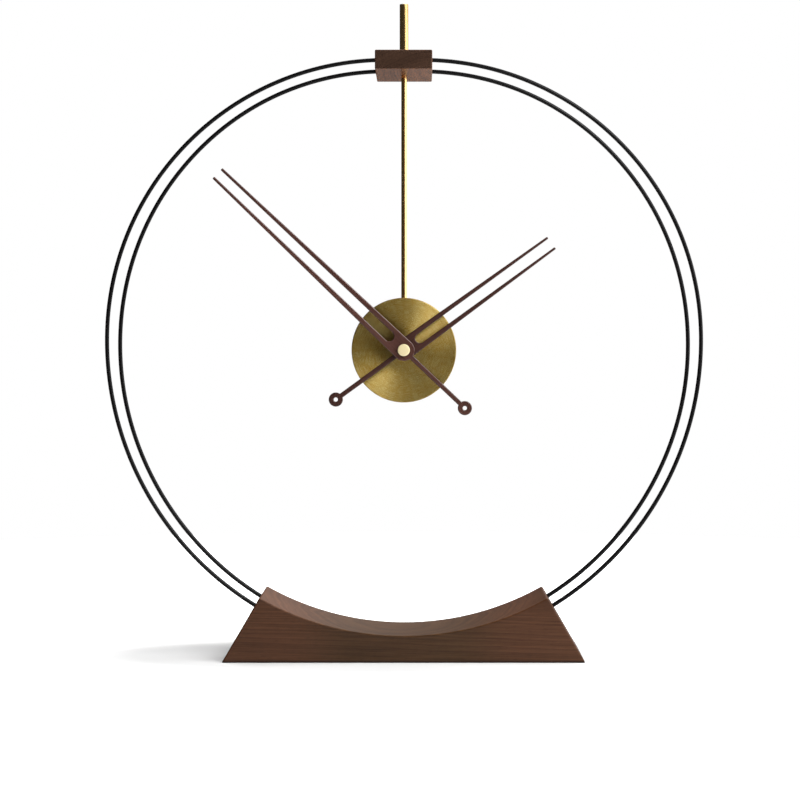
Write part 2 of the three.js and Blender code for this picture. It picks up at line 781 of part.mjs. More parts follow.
// A wheel and its pinion on one arbor. The arbor's front shoulder stands at the second layer,
// and it has a pivot at each end.
function trainWheel(name, at, wheelLayer, wheel, pinion) {
  const { front, back } = layer(wheelLayer);
  const shoulder = shoulderOf(2);
  const leafFront = shoulderOf(wheelLayer - 1);
  const whole = joined([
    gear(wheel.teeth, wheel.module, wheel.phase, at, front, back),
    gear(pinion.teeth, pinion.module, pinion.phase, at, leafFront, front + WHEEL_THICKNESS / 2),
    pin(at.x, at.y, WHEEL_ARBOR, shoulder, coverFront - SEAT_GAP),
    pin(at.x, at.y, WHEEL_PIVOT, shoulder - PIVOT_LENGTH, pivotBack),
  ]);
  return piece(name, geometryOf(whole), whitePlastic());
}

function makeThirdWheel() {
  const pinionPhase = meshPhase(thirdLine, thirdLine, CENTRE_WHEEL_TEETH, THIRD_PINION_TEETH);
  return trainWheel(
    "third_wheel", thirdAt, 3,
    { teeth: THIRD_WHEEL_TEETH, module: thirdModule, phase: thirdLine + Math.PI },
    { teeth: THIRD_PINION_TEETH, module: CENTRE_MODULE, phase: pinionPhase },
  );
}

function makeFourthWheel() {
  const { front, back } = layer(4);
  const third = layer(3);
  const line = thirdLine + Math.PI;
  const pinionPhase = meshPhase(line, line, THIRD_WHEEL_TEETH, FOURTH_PINION_TEETH);
  const leafFront = layer(2).back + SEAT_GAP;
  const { x, y: z } = pivot;
  const whole = joined([
    gear(FOURTH_WHEEL_TEETH, FOURTH_MODULE, fifthLine, pivot, front, back),
    gear(
      FOURTH_PINION_TEETH, thirdModule, pinionPhase, pivot, leafFront, third.back + LAYER_PITCH / 2,
    ),
    pin(x, z, WHEEL_ARBOR, front, coverFront - SEAT_GAP),
    pin(x, z, WHEEL_PIVOT, front, pivotBack),
    pin(x, z, FOURTH_PIVOT, layer(2).back - FOURTH_PIVOT_LENGTH + PIVOT_GAP, front),
  ]);
  return piece("fourth_wheel", geometryOf(whole), whitePlastic());
}

function makeFifthWheel() {
  const pinionPhase = meshPhase(fifthLine, fifthLine, FOURTH_WHEEL_TEETH, FIFTH_PINION_TEETH);
  return trainWheel(
    "fifth_wheel", fifthAt, 5,
    { teeth: FIFTH_WHEEL_TEETH, module: ROTOR_MODULE, phase: rotorLine },
    { teeth: FIFTH_PINION_TEETH, module: FOURTH_MODULE, phase: pinionPhase },
  );
}

const magnetFront = layer(5).back + MAGNET_WHEEL_GAP;

function makeRotor() {
  const leafFront = shoulderOf(5);
  const phase = meshPhase(rotorLine, rotorLine, FIFTH_WHEEL_TEETH, ROTOR_PINION_TEETH);
  const { x, y: z } = rotorAt;
  const whole = joined([
    gear(ROTOR_PINION_TEETH, ROTOR_MODULE, phase, rotorAt, leafFront, magnetFront + JOIN_OVERLAP),
    pin(x, z, MAGNET_DIAMETER, magnetFront, magnetFront + MAGNET_LENGTH, TURNED_SIDES),
    pin(x, z, WHEEL_PIVOT, leafFront - PIVOT_LENGTH, pivotBack),
  ]);
  return piece("rotor", geometryOf(whole), magnet());
}

// Stepping motor

const statorFront = magnetFront + STATOR_SETBACK;
const statorBack = statorFront + STATOR_THICKNESS;
const coreBack = statorFront - SEAT_GAP;
const coreFront = coreBack - CORE_THICKNESS;
const coilY = (coreFront + coreBack) / 2;
const coilZ = rotorAt.y + COIL_PLACE;
const stakeReach = COIL_LENGTH / 2 + SOCKET_GAP + STATOR_LEG / 2;
const stakeXs = [rotorAt.x - stakeReach, rotorAt.x + stakeReach];

function stakeHole(x, z) {
  return circlePath(x, z, STAKE_DIAMETER / 2 + PIVOT_GAP, SMALL_SIDES);
}

function makeStator() {
  const hole = MAGNET_DIAMETER / 2 + STATOR_GAP;
  const outside = stakeReach + STATOR_LEG / 2;
  const inside = stakeReach - STATOR_LEG / 2;
  const low = rotorAt.y - hole - STATOR_NECK;
  const shelf = rotorAt.y + hole + STATOR_NECK;
  const high = coilZ + STATOR_LEG / 2;
  const outline = [
    [-outside, low], [outside, low], [outside, high], [inside, high],
    [inside, shelf], [-inside, shelf], [-inside, high], [-outside, high],
  ].map(([x, z]) => new THREE.Vector2(rotorAt.x + x, z));
  const holes = [
    circlePath(rotorAt.x, rotorAt.y, hole, TURNED_SIDES),
    ...stakeXs.map((x) => stakeHole(x, coilZ)),
  ];
  return piece("stator", plate(outline, statorFront, statorBack, 0, holes), steel());
}

function makeCore() {
  const tab = STATOR_LEG / 2;
  const half = CORE_WIDTH / 2;
  const [left, right] = stakeXs;
  const outline = [
    [left - tab, -tab], [left + tab, -tab], [left + tab, -half], [right - tab, -half],
    [right - tab, -tab], [right + tab, -tab], [right + tab, tab], [right - tab, tab],
    [right - tab, half], [left + tab, half], [left + tab, tab], [left - tab, tab],
  ].map(([x, z]) => new THREE.Vector2(x, coilZ + z));
  const holes = stakeXs.map((x) => stakeHole(x, coilZ));
  return piece("coil_core", plate(outline, coreFront, coreBack, 0, holes), steel());
}

function turnedAlong(profile) {
  const points = profile.map(([radius, along]) => new THREE.Vector2(radius, along));
  const geometry = new THREE.LatheGeometry(points, SMALL_SIDES);
  geometry.rotateZ(-Math.PI / 2);
  geometry.translate(rotorAt.x, coilY, coilZ);
  return geometry;
}

function makeBobbin() {
  const half = COIL_LENGTH / 2;
  const inner = half - BOBBIN_FLANGE;
  const bore = Math.hypot(CORE_WIDTH, CORE_THICKNESS) / 2 + PIVOT_GAP;
  const flange = BOBBIN_DIAMETER / 2;
  const barrel = BOBBIN_BARREL / 2;
  const profile = [
    [bore, -half], [flange, -half], [flange, -inner], [barrel, -inner],
    [barrel, inner], [flange, inner], [flange, half], [bore, half], [bore, -half],
  ];
  return piece("coil_bobbin", turnedAlong(profile), whitePlastic());
}

function makeWinding() {
  const half = COIL_LENGTH / 2 - BOBBIN_FLANGE - SEAT_GAP;
  const inside = BOBBIN_BARREL / 2 + SEAT_GAP;
  const outside = WINDING_DIAMETER / 2;
  const profile = [
    [inside, -half],
    [outside, -half],
    [outside, half],
    [inside, half],
    [inside, -half],
  ];
  return piece("coil_winding", turnedAlong(profile), copper());
}

// Circuit board

const boardStakes = [
  new THREE.Vector2(BOARD_LEFT + BOARD_STAKE_INSET, pivotZ + BOARD_LOW + BOARD_STAKE_INSET),
  new THREE.Vector2(BOARD_RIGHT - BOARD_STAKE_INSET, pivotZ + BOARD_HIGH - BOARD_STAKE_INSET),
];

function makeBoard() {
  const outline = rectangle(BOARD_LEFT, pivotZ + BOARD_LOW, BOARD_RIGHT, pivotZ + BOARD_HIGH);
  const holes = boardStakes.map((at) => stakeHole(at.x, at.y));
  const back = statorFront + BOARD_THICKNESS;
  return piece("circuit_board", plate(outline, statorFront, back, 0, holes), boardGreen());
}

function makeCrystal() {
  const radius = CRYSTAL_DIAMETER / 2;
  const can = new THREE.CylinderGeometry(radius, radius, CRYSTAL_LENGTH, SMALL_SIDES);
  can.rotateZ(Math.PI / 2);
  const x = BOARD_RIGHT - BOARD_STAKE_INSET - CRYSTAL_LENGTH;
  can.translate(x, statorFront - SEAT_GAP - radius, pivotZ + BOARD_LOW + CRYSTAL_DIAMETER);
  return piece("quartz_crystal", can, steel());
}

function makeChip() {
  const radius = CHIP_DIAMETER / 2;
  const back = statorFront - SEAT_GAP;
  const middle = pivotZ + (BOARD_LOW + BOARD_HIGH) / 2;
  const dome = [];
  for (let i = 0; i <= DOME_STEPS; i += 1) {
    const lean = (Math.PI / 2) * (i / DOME_STEPS);
    dome.push([radius * Math.sin(lean), back - CHIP_HEIGHT * Math.cos(lean)]);
  }
  dome.push([0, back]);
  return piece("chip", turned(dome, BOARD_LEFT + CHIP_INSET, middle), blackPlastic());
}

// Housing and cover

const housingHalf = HOUSING_SIZE / 2;
const cavityHalf = housingHalf - HOUSING_WALL;
const housingBack = trainFront + HOUSING_INSIDE;

// A boss that stands on the front plate, and the blind hole for the pivot that runs in it
function pivotBoss(at, shoulder) {
  const top = shoulder - SOCKET_GAP;
  return {
    boss: pin(at.x, at.y, BOSS_DIAMETER, trainFront - JOIN_OVERLAP, top, SMALL_SIDES),
    hole: pin(at.x, at.y, WHEEL_PIVOT + 2 * PIVOT_GAP, top - PIVOT_LENGTH, top + OVERSHOOT),
  };
}

// A post on the front plate that carries a plate and sticks through its hole
function stake(x, z, plateFront, end) {
  const top = plateFront - SEAT_GAP;
  return [
    pin(x, z, STAKE_BOSS, trainFront - JOIN_OVERLAP, top, SMALL_SIDES),
    pin(x, z, STAKE_DIAMETER, top - JOIN_OVERLAP, end, SMALL_SIDES),
  ];
}

function makeHousing() {
  const bosses = [
    pivotBoss(thirdAt, shoulderOf(2)),
    pivotBoss(fifthAt, shoulderOf(2)),
    pivotBoss(rotorAt, shoulderOf(5)),
    pivotBoss(knobAt, shoulderOf(1)),
  ];
  const low = pivotZ - housingHalf;
  const high = pivotZ + housingHalf;
  const inner = HOUSING_CORNER - HOUSING_WALL;
  const outline = roundedRectangle(-housingHalf, low, housingHalf, high, HOUSING_CORNER);
  const cavity = roundedRectangle(
    -cavityHalf, pivotZ - cavityHalf, cavityHalf, pivotZ + cavityHalf, inner,
  );
  const wallTop = pivotZ + BAY_WALL_TOP;
  const wallHalf = cavityHalf - BAY_WALL_END_GAP;
  const tray = solid(plate(outline, housingFront, housingBack)).subtract(
    solid(plate(cavity, trainFront, housingBack + OVERSHOOT)),
  );
  const rootFront = trainFront - JOIN_OVERLAP;
  const additions = [
    plate(rectangle(-wallHalf, wallTop - BAY_WALL, wallHalf, wallTop), rootFront, housingBack),
    ...bosses.map((item) => item.boss),
    pin(minuteWheelAt.x, minuteWheelAt.y, MINUTE_WHEEL_POST, rootFront, layer(1).back),
    ...stakeXs.flatMap((x) => stake(x, coilZ, coreFront, statorBack + SEAT_GAP)),
    ...boardStakes.flatMap((at) => stake(at.x, at.y, statorFront, statorBack + SEAT_GAP)),
  ];
  const whole = additions.reduce((sum, next) => sum.add(solid(next)), tray);
  const bushBore = BUSH_DIAMETER + 2 * BORE_GAP;
  const bushHole = pin(
    0, pivotZ, bushBore, housingFront - OVERSHOOT, trainFront + OVERSHOOT, TURNED_SIDES,
  );
  const finished = cut(whole, [bushHole, ...bosses.map((item) => item.hole)]);
  return piece("movement_housing", geometryOf(finished), blackPlastic());
}

function makeCover() {
  const low = pivotZ + BAY_WALL_TOP - BAY_WALL;
  const high = pivotZ + housingHalf;
  const radius = HOUSING_CORNER;
  const quarter = Math.PI / 2;
  const outline = [
    new THREE.Vector2(-housingHalf, low),
    new THREE.Vector2(housingHalf, low),
    ...arc(housingHalf - radius, high - radius, radius, 0, quarter, CORNER_STEPS),
    ...arc(radius - housingHalf, high - radius, radius, quarter, 2 * quarter, CORNER_STEPS),
  ];
  const start = coverFront - OVERSHOOT;
  const blindEnd = coverFront + COVER_PIVOT_DEPTH;
  const blind = [thirdAt, pivot, fifthAt, rotorAt].map(
    (at) => pin(at.x, at.y, WHEEL_PIVOT + 2 * PIVOT_GAP, start, blindEnd),
  );
  const knobBore = KNOB_SHAFT + 2 * BORE_GAP;
  const knobHole = pin(knobAt.x, knobAt.y, knobBore, start, coverBack + OVERSHOOT, TURNED_SIDES);
  const lid = cut(solid(plate(outline, coverFront, coverBack)), [...blind, knobHole]);
  return piece("movement_cover", geometryOf(lid), blackPlastic());
}

// Bush, nut and washers at the case's face

function makeBush() {
  const bore = (MINUTE_ARBOR + 2 * BORE_GAP + 2 * HOUR_TUBE_WALL + 2 * BORE_GAP) / 2;
  const flangeFront = trainFront + SEAT_GAP;
  const profile = [
    [bore, bushFront],
    [BUSH_DIAMETER / 2, bushFront],
    [BUSH_DIAMETER / 2, flangeFront],
    [BUSH_FLANGE_DIAMETER / 2, flangeFront],
    [BUSH_FLANGE_DIAMETER / 2, flangeFront + BUSH_FLANGE],
    [bore, flangeFront + BUSH_FLANGE],
    [bore, bushFront],
  ];
  return piece("threaded_bush", turned(profile, 0, pivotZ), brass());
}

function makeFaceNut() {
  const hole = circlePath(0, pivotZ, BUSH_DIAMETER / 2 + BORE_GAP, TURNED_SIDES);
  const outline = hexagon(FACE_NUT_WIDTH, 0, pivotZ);
  const nut = plate(outline, nutFront, nutFront + FACE_NUT_HEIGHT, 0, [hole]);
  return piece("face_nut", nut, brass());
}

function makeFaceWasher() {
  const bore = BUSH_DIAMETER + 2 * BORE_GAP;
  const back = washerFront + FACE_WASHER;
  const washer = ring(FACE_WASHER_DIAMETER, bore, washerFront, back, 0, pivotZ);
  return piece("face_washer", washer, brass());
}

function makeRubberWasher() {
  const bore = BUSH_DIAMETER + 2 * BORE_GAP;
  const back = rubberFront + RUBBER_WASHER;
  const washer = ring(RUBBER_WASHER_DIAMETER, bore, rubberFront, back, 0, pivotZ);
  return piece("rubber_washer", washer, rubber());
}

// Battery and contacts

const bayMiddle = pivotZ + (BAY_WALL_TOP - BAY_WALL - cavityHalf) / 2;
const batteryY = trainFront + SOCKET_GAP + BATTERY_DIAMETER / 2;
const contactPlace = cavityHalf - SOCKET_GAP - CONTACT_THICKNESS;

function makeBattery() {
  const radius = BATTERY_DIAMETER / 2;
  const nub = BATTERY_NUB_DIAMETER / 2;
  const high = contactPlace - SOCKET_GAP;
  const shoulder = high - BATTERY_NUB_HEIGHT;
  const low = high - BATTERY_LENGTH;
  const points = [
    [0, low],
    [radius - BATTERY_EDGE, low],
    [radius, low + BATTERY_EDGE],
    [radius, shoulder - BATTERY_EDGE],
    [radius - BATTERY_EDGE, shoulder],
    [nub, shoulder],
    [nub, high],
    [0, high],
  ].map(([r, along]) => new THREE.Vector2(r, along));
  const cell = new THREE.LatheGeometry(points, BATTERY_SIDES);
  cell.rotateZ(-Math.PI / 2);
  cell.translate(0, batteryY, bayMiddle);
  return piece("battery", cell, wrapper());
}

// A strip bent along a line of points, seen from the front, at one thickness
function strip(points, front, back) {
  const ways = points.slice(1).map((point, i) => point.clone().sub(points[i]).normalize());
  const offsets = points.map((_, i) => {
    const before = ways[Math.max(i - 1, 0)];
    const after = ways[Math.min(i, ways.length - 1)];
    const mitre = before.clone().add(after).normalize();
    const stretch = CONTACT_THICKNESS / 2 / mitre.dot(before);
    return new THREE.Vector2(-mitre.y, mitre.x).multiplyScalar(stretch);
  });
  const left = points.map((point, i) => point.clone().add(offsets[i]));
  const right = points.map((point, i) => point.clone().sub(offsets[i]));
  return plate([...right, ...left.reverse()], front, back);
}

function makeContacts() {
  const back = statorFront - SEAT_GAP;
  const front = back - CONTACT_WIDTH;
  const half = CONTACT_THICKNESS / 2;
  const bend = HOUSING_CORNER;
  const bayLow = bayMiddle - BATTERY_NUB_DIAMETER;
  const bayHigh = bayMiddle + BATTERY_NUB_DIAMETER;
  const boardMiddle = pivotZ + (BOARD_LOW + BOARD_HIGH) / 2;
  const right = contactPlace + half;
  const high = pivotZ + cavityHalf - SOCKET_GAP - half;
  const positive = [
    [right, bayLow],
    [right, high - bend],
    [right - bend, high],
    [BOARD_RIGHT - BOARD_STAKE_INSET, high],
  ];
  const left = -contactPlace - half;
  const bow = left + CONTACT_BOW;
  const negative = [
    [left, bayLow],
    [bow, bayMiddle],
    [left, bayHigh],
    [left, boardMiddle],
  ];
  const vectors = (list) => list.map(([x, z]) => new THREE.Vector2(x, z));
  return [
    piece("positive_contact", strip(vectors(positive), front, back), steel()),
    piece("negative_contact", strip(vectors(negative), front, back), steel()),
  ];
}

// Hands

// A forked hand that points along +X: a hub, two prongs with a round-ended slot between them,
// and a thin tail that ends in a ring
function handOutline(size) {
  const hub = size.hub / 2;
  const slot = size.slot / 2;
  const tail = size.tail / 2;
  const ringRadius = TAIL_RING_DIAMETER / 2;
  const origin = new THREE.Vector2();
  const outerTip = new THREE.Vector2(size.length, size.tipWidth / 2);
  const innerTip = new THREE.Vector2(size.length, size.tipWidth / 2 - size.prongTip);
  const slotCentre = new THREE.Vector2(size.slotStart + slot, 0);
  const outer = touchAngle(outerTip, origin, hub);
  const inner = touchAngle(innerTip, slotCentre, slot);
  const tailAtHub = Math.asin(tail / hub);
  const tailAtRing = Math.asin(tail / ringRadius);
  const turn = 2 * Math.PI;
  return [
    outerTip,
    ...arc(0, 0, hub, outer, Math.PI - tailAtHub, HUB_STEPS),
    ...arc(-TAIL_RING_PLACE, 0, ringRadius, tailAtRing, turn - tailAtRing, TAIL_RING_STEPS),
    ...arc(0, 0, hub, Math.PI + tailAtHub, turn - outer, HUB_STEPS),
    new THREE.Vector2(size.length, -size.tipWidth / 2),
    new THREE.Vector2(size.length, size.prongTip - size.tipWidth / 2),
    ...arc(slotCentre.x, 0, slot, turn - inner, inner, SLOT_STEPS),
    innerTip,
  ];
}

function turnedTo(outline, angle) {
  const centre = new THREE.Vector2();
  const direction = degrees(90 - angle);
  return outline.map((point) => point.clone().rotateAround(centre, direction).add(pivot));
}

function makeHand(name, size, back, angle, boreDiameter) {
  const outline = turnedTo(handOutline(size), angle);
  const ringCentre = turnedTo([new THREE.Vector2(-TAIL_RING_PLACE, 0)], angle)[0];
  const holes = [
    circlePath(ringCentre.x, ringCentre.y, TAIL_RING_HOLE / 2, TURNED_SIDES),
    circlePath(pivot.x, pivot.y, boreDiameter / 2, TURNED_SIDES),
  ];
  const hand = plate(outline, back - HAND_THICKNESS, back, HAND_EDGE, holes);
  return piece(name, hand, handWalnut());
}

function makeHandBush(name, shaft, back) {
  const bore = shaft / 2 + BORE_GAP;
  const outside = bore + HAND_BUSH_WALL;
  const flange = outside + HAND_BUSH_WALL;
  const front = back - HAND_THICKNESS;
  const seat = back + SEAT_GAP / 2;
  const profile = [
    [bore, front],
    [outside, front],
    [outside, seat],
    [flange, seat],
    [flange, seat + HAND_BUSH_FLANGE - SEAT_GAP],
    [bore, seat + HAND_BUSH_FLANGE - SEAT_GAP],
    [bore, front],
  ];
  return piece(name, turned(profile, 0, pivotZ), brass());
}

function makeCapNut() {
  const bore = MINUTE_ARBOR / 2 + BORE_GAP;
  const radius = CAP_DIAMETER / 2;
  const profile = [
    [0, capFront],
    [radius - CAP_EDGE, capFront],
    [radius, capFront + CAP_EDGE],
    [radius, capBack],
    [bore, capBack],
    [bore, capBack - CAP_BORE_DEPTH],
    [0, capBack - CAP_BORE_DEPTH],
  ];
  return piece("cap_nut", turned(profile, 0, pivotZ, BATTERY_SIDES), paleBrass());
}

// Assembly

const outerHoop = hoopPath(
  OUTER_HOOP_DROP, OUTER_HOOP_LEVEL, OUTER_HOOP_RADIUS, OUTER_HOOP_TURN, OUTER_HOOP_ENTRY,
);
const innerHoop = hoopInside(outerHoop, [
  HOOP_SPACING_TOP, HOOP_SPACING_SHOULDER, HOOP_SPACING_UPPER_SIDE, HOOP_SPACING_SIDE,
  HOOP_SPACING_LOWER_SIDE, HOOP_SPACING_HAUNCH, HOOP_SPACING_FOOT,
]);
const baseSockets = [outerHoop, innerHoop].flatMap((hoop) => {
  const tool = socketTool(hoop.foot, hoop.inward);
  return [tool, mirrored(tool)];
});

const frame = new THREE.Group();
frame.name = "frame";
frame.add(makeBase(baseSockets), makeBlock([outerHoop, innerHoop]));
for (const [word, hoop] of [["outer", outerHoop], ["inner", innerHoop]]) {
  const right = hoopRod(hoop.path, `${word}_hoop_right`);
  frame.add(right, piece(`${word}_hoop_left`, mirrored(right.geometry), blackSteel()));
}
frame.add(makeHanger(), makeFinial(), makeRodNut());

const head = new THREE.Group();
head.name = "head";
head.add(makeCase(), makeRubberWasher(), makeBush(), makeFaceWasher(), makeFaceNut());

const movement = new THREE.Group();
movement.name = "movement";
movement.add(makeHousing(), makeCover());
movement.add(makeMinuteArbor(), makeCentreWheel(), makeHourWheel(), makeMinuteWheel());
movement.add(makeSettingKnob(), makeThirdWheel(), makeFourthWheel(), makeFifthWheel(), makeRotor());
movement.add(makeStator(), makeCore(), makeBobbin(), makeWinding());
movement.add(makeBoard(), makeCrystal(), makeChip(), makeBattery(), ...makeContacts());

const minuteBore = MINUTE_ARBOR + 2 * BORE_GAP + 2 * HAND_BUSH_WALL + 2 * BORE_GAP;
const hourTube = MINUTE_ARBOR + 2 * BORE_GAP + 2 * HOUR_TUBE_WALL;
const hourBore = hourTube + 2 * BORE_GAP + 2 * HAND_BUSH_WALL + 2 * BORE_GAP;

const hands = new THREE.Group();
hands.name = "hands";
hands.add(
  makeHand("hour_hand", {
    hub: HOUR_HUB_DIAMETER,
    slot: HOUR_SLOT_WIDTH,
    slotStart: HOUR_SLOT_START,
    tail: HOUR_TAIL_WIDTH,
    length: HOUR_HAND_LENGTH,
    tipWidth: HOUR_TIP_WIDTH,
    prongTip: HOUR_PRONG_TIP,
  }, hourBack, HOUR_HAND_ANGLE, hourBore),
  makeHandBush("hour_hand_bush", hourTube, hourBack),
  makeHand("minute_hand", {
    hub: MINUTE_HUB_DIAMETER,
    slot: MINUTE_SLOT_WIDTH,
    slotStart: MINUTE_SLOT_START,
    tail: MINUTE_TAIL_WIDTH,
    length: MINUTE_HAND_LENGTH,
    tipWidth: MINUTE_TIP_WIDTH,
    prongTip: MINUTE_PRONG_TIP,
  }, minuteBack, MINUTE_HAND_ANGLE, minuteBore),
  makeHandBush("minute_hand_bush", MINUTE_ARBOR, minuteBack),
  makeCapNut(),
);

const clock = new THREE.Group();
clock.name = "standing_clock";
clock.add(frame, head, movement, hands);

export default clock;
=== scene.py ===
"""Standing clock with two steel hoops between a walnut foot and a walnut block, and a brass case
that hangs on a rod in the middle of them. Lengths are in metres, +Z is up, and the front faces
-Y."""

from math import acos, asin, atan2, cos, hypot, pi, radians, sin, sqrt, tau

import bmesh
import bpy
from bpy.props import FloatProperty, FloatVectorProperty, IntProperty, PointerProperty
from bpy.types import Operator, Panel, PropertyGroup
from mathutils import Matrix, Vector
from mathutils.geometry import tessellate_polygon


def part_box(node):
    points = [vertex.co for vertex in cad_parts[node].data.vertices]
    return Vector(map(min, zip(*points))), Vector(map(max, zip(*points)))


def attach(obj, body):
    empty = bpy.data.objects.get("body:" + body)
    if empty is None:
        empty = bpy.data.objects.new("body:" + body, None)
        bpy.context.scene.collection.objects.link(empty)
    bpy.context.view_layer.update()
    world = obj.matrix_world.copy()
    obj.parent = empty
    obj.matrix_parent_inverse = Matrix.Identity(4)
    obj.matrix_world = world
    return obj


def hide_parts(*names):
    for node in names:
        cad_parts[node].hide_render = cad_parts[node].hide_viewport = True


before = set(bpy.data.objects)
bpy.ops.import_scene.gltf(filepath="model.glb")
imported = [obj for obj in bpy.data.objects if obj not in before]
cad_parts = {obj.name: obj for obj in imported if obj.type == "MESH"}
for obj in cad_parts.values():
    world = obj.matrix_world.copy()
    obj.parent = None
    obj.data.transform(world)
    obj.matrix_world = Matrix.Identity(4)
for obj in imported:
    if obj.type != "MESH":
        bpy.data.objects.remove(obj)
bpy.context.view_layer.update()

bl_info = {
    "name": "Standing clock",
    "version": (1, 0, 0),
    "blender": (4, 5, 0),
    "location": "3D View > Sidebar > Clock",
    "description": "Builds a standing clock with steel hoops, a walnut foot and forked hands",
    "category": "Add Mesh",
}

MM = 0.001

# The clock's centre line from front to back, on which the case and the hands are turned
CASE_LOW, CASE_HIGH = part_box("case_shell")
PIVOT = Vector((0, 0, (CASE_LOW.z + CASE_HIGH.z) / 2))


# Sizes and colours

def size(name, description, millimetres):
    """A length, given in millimetres and kept in metres"""
    return FloatProperty(
        name=name, description=description, default=millimetres * MM, min=0, precision=5,
        unit="LENGTH",
    )


def turn_angle(name, description, degrees):
    """An angle, given in degrees and kept in radians"""
    return FloatProperty(
        name=name, description=description, default=radians(degrees), subtype="ANGLE",
    )


def count(name, description, number):
    """A number of steps or sides"""
    return IntProperty(name=name, description=description, default=number, min=1)


def tint(name, description, red, green, blue):
    """A colour in linear light"""
    return FloatVectorProperty(
        name=name, description=description, default=(red, green, blue), min=0, max=1, size=3,
        subtype="COLOR",
    )


class FootSizes(PropertyGroup):
    """Walnut foot"""
    length: size("Length", "Length of the underside", 297.6)
    top_length: size("Top length", "Distance between the two upper corners", 235.8)
    height: size("Height", "Height of the upper corners", 53.2)
    waist: size("Waist", "Height at the middle of the hollow", 22.2)
    depth: size("Depth", "From front to back", 90)
    edge: size("Edge", "Radius of the eased edges", 1.3)
    hollow_steps: count("Hollow steps", "Flats along the hollow", 120)


class BlockSizes(PropertyGroup):
    """Walnut block at the top"""
    length: size("Length", "From side to side", 47)
    height: size("Height", "From the underside to the top", 15.7)
    depth: size("Depth", "From front to back", 90)
    edge: size("Edge", "Radius of the eased edges", 1)
    top: size("Top", "Height of the top face above the table", 501.2)


class HoopSizes(PropertyGroup):
    """Steel hoops"""
    rod: size("Rod", "Diameter of the rod", 3.5)
    socket: size("Socket", "Depth of the rod's end in the wood", 11)
    slack: size("Slack", "Gap round the rod's end in its hole", 0.3)
    drop: size("Drop", "From the block's top down to the outer hoop", 2.7)
    level: size("Level", "Where the outer hoop starts to bend, from the middle", 15)
    radius: size("Radius", "Radius of the outer hoop's first bend", 233.7)
    turn: turn_angle("Turn", "Angle of the outer hoop's first bend", 87.5)
    entry: size("Entry", "Height at which the outer hoop enters the foot", 41.7)
    gap_top: size("Gap, top", "Spacing of the two hoops at the block", 9.6)
    gap_shoulder: size("Gap, shoulder", "Spacing a sixth of the way down", 10)
    gap_upper_side: size("Gap, upper side", "Spacing a third of the way down", 11.2)
    gap_side: size("Gap, side", "Spacing half of the way down", 11.5)
    gap_lower_side: size("Gap, lower side", "Spacing two thirds of the way down", 10.4)
    gap_haunch: size("Gap, haunch", "Spacing five sixths of the way down", 9.9)
    gap_foot: size("Gap, foot", "Spacing at the foot", 9.1)
    sides: count("Sides", "Sides of the round rod", 24)


class RodSizes(PropertyGroup):
    """Brass rods between the block and the case"""
    hanger: size("Hanger", "Diameter of the rod that holds the case", 4.6)
    screw: size("Screw", "Diameter of its threaded end", 3)
    pitch: size("Pitch", "Pitch of the thread", 0.5)
    finial: size("Finial", "Diameter of the rod end above the block", 7.3)
    finial_bore: size("Finial bore", "Depth of the hole in the rod end", 9)
    edge: size("Edge", "Width of the turned edges", 0.4)
    clearance: size("Clearance", "Gap round the rod in a hole", 0.25)
    nut_width: size("Nut width", "Rod nut across its flats", 5.5)
    sides: count("Sides", "Sides of a turned rod", 48)


class CaseSizes(PropertyGroup):
    """Turned brass case"""
    wall: size("Wall", "Thickness of the rim and the face", 1.6)
    rim: size("Rim", "Radius of the front edge", 1.0)
    back_edge: size("Back edge", "Radius of the open edge at the back", 0.3)
    bore: size("Bore", "Diameter of the hole for the bush", 8.5)
    rod_bore: size("Rod bore", "Diameter of the hole for the rod's screw", 3.5)
    sides: count("Sides", "Sides of the round case", 160)


class FittingSizes(PropertyGroup):
    """Bush, washer, nut and cap in the middle of the face"""
    bush: size("Bush", "Diameter of the threaded bush", 8)
    bush_bore: size("Bush bore", "Diameter of the hole for the hour tube", 5.5)
    bush_flange: size("Bush flange", "Thickness of the bush's flange", 0.8)
    pitch: size("Pitch", "Pitch of the bush's thread", 0.75)
    nut_width: size("Nut width", "Face nut across its flats", 11)
    washer_bore: size("Washer bore", "Diameter of the holes that clear the bush", 8.5)
    cap_edge: size("Cap edge", "Radius of the cap's front edge", 0.7)
    cap_bore: size("Cap bore", "Diameter of the cap's hole", 3.9)
    cap_bore_depth: size("Cap bore depth", "Depth of the cap's hole", 2.2)
    sides: count("Sides", "Sides of a turned fitting", 64)


class MinuteHandSizes(PropertyGroup):
    """Minute hand"""
    angle: turn_angle("Angle", "Clockwise from twelve", -46.5)
    length: size("Length", "From the pivot to the tip", 212.4)
    hub: size("Hub", "Diameter of the hub", 18)
    tip_width: size("Tip width", "Across both prongs at the tip", 12.1)
    prong_tip: size("Prong tip", "Width of one prong at the tip", 2.35)
    slot: size("Slot", "Width of the slot's round end", 8)
    slot_start: size("Slot start", "From the pivot to the slot", 12.7)
    tail: size("Tail", "Width of the tail", 3.9)
    bore: size("Bore", "Diameter of the hole for the bush", 7)
    bush_bore: size("Bush bore", "Diameter of the hole in the bush", 3.9)


class HourHandSizes(PropertyGroup):
    """Hour hand"""
    angle: turn_angle("Angle", "Clockwise from twelve", 54)
    length: size("Length", "From the pivot to the tip", 151.3)
    hub: size("Hub", "Diameter of the hub", 17.2)
    tip_width: size("Tip width", "Across both prongs at the tip", 12.6)
    prong_tip: size("Prong tip", "Width of one prong at the tip", 2)
    slot: size("Slot", "Width of the slot's round end", 7.9)
    slot_start: size("Slot start", "From the pivot to the slot", 12.7)
    tail: size("Tail", "Width of the tail", 4)
    bore: size("Bore", "Diameter of the hole for the bush", 8.6)
    bush_bore: size("Bush bore", "Diameter of the hole in the bush", 5.5)


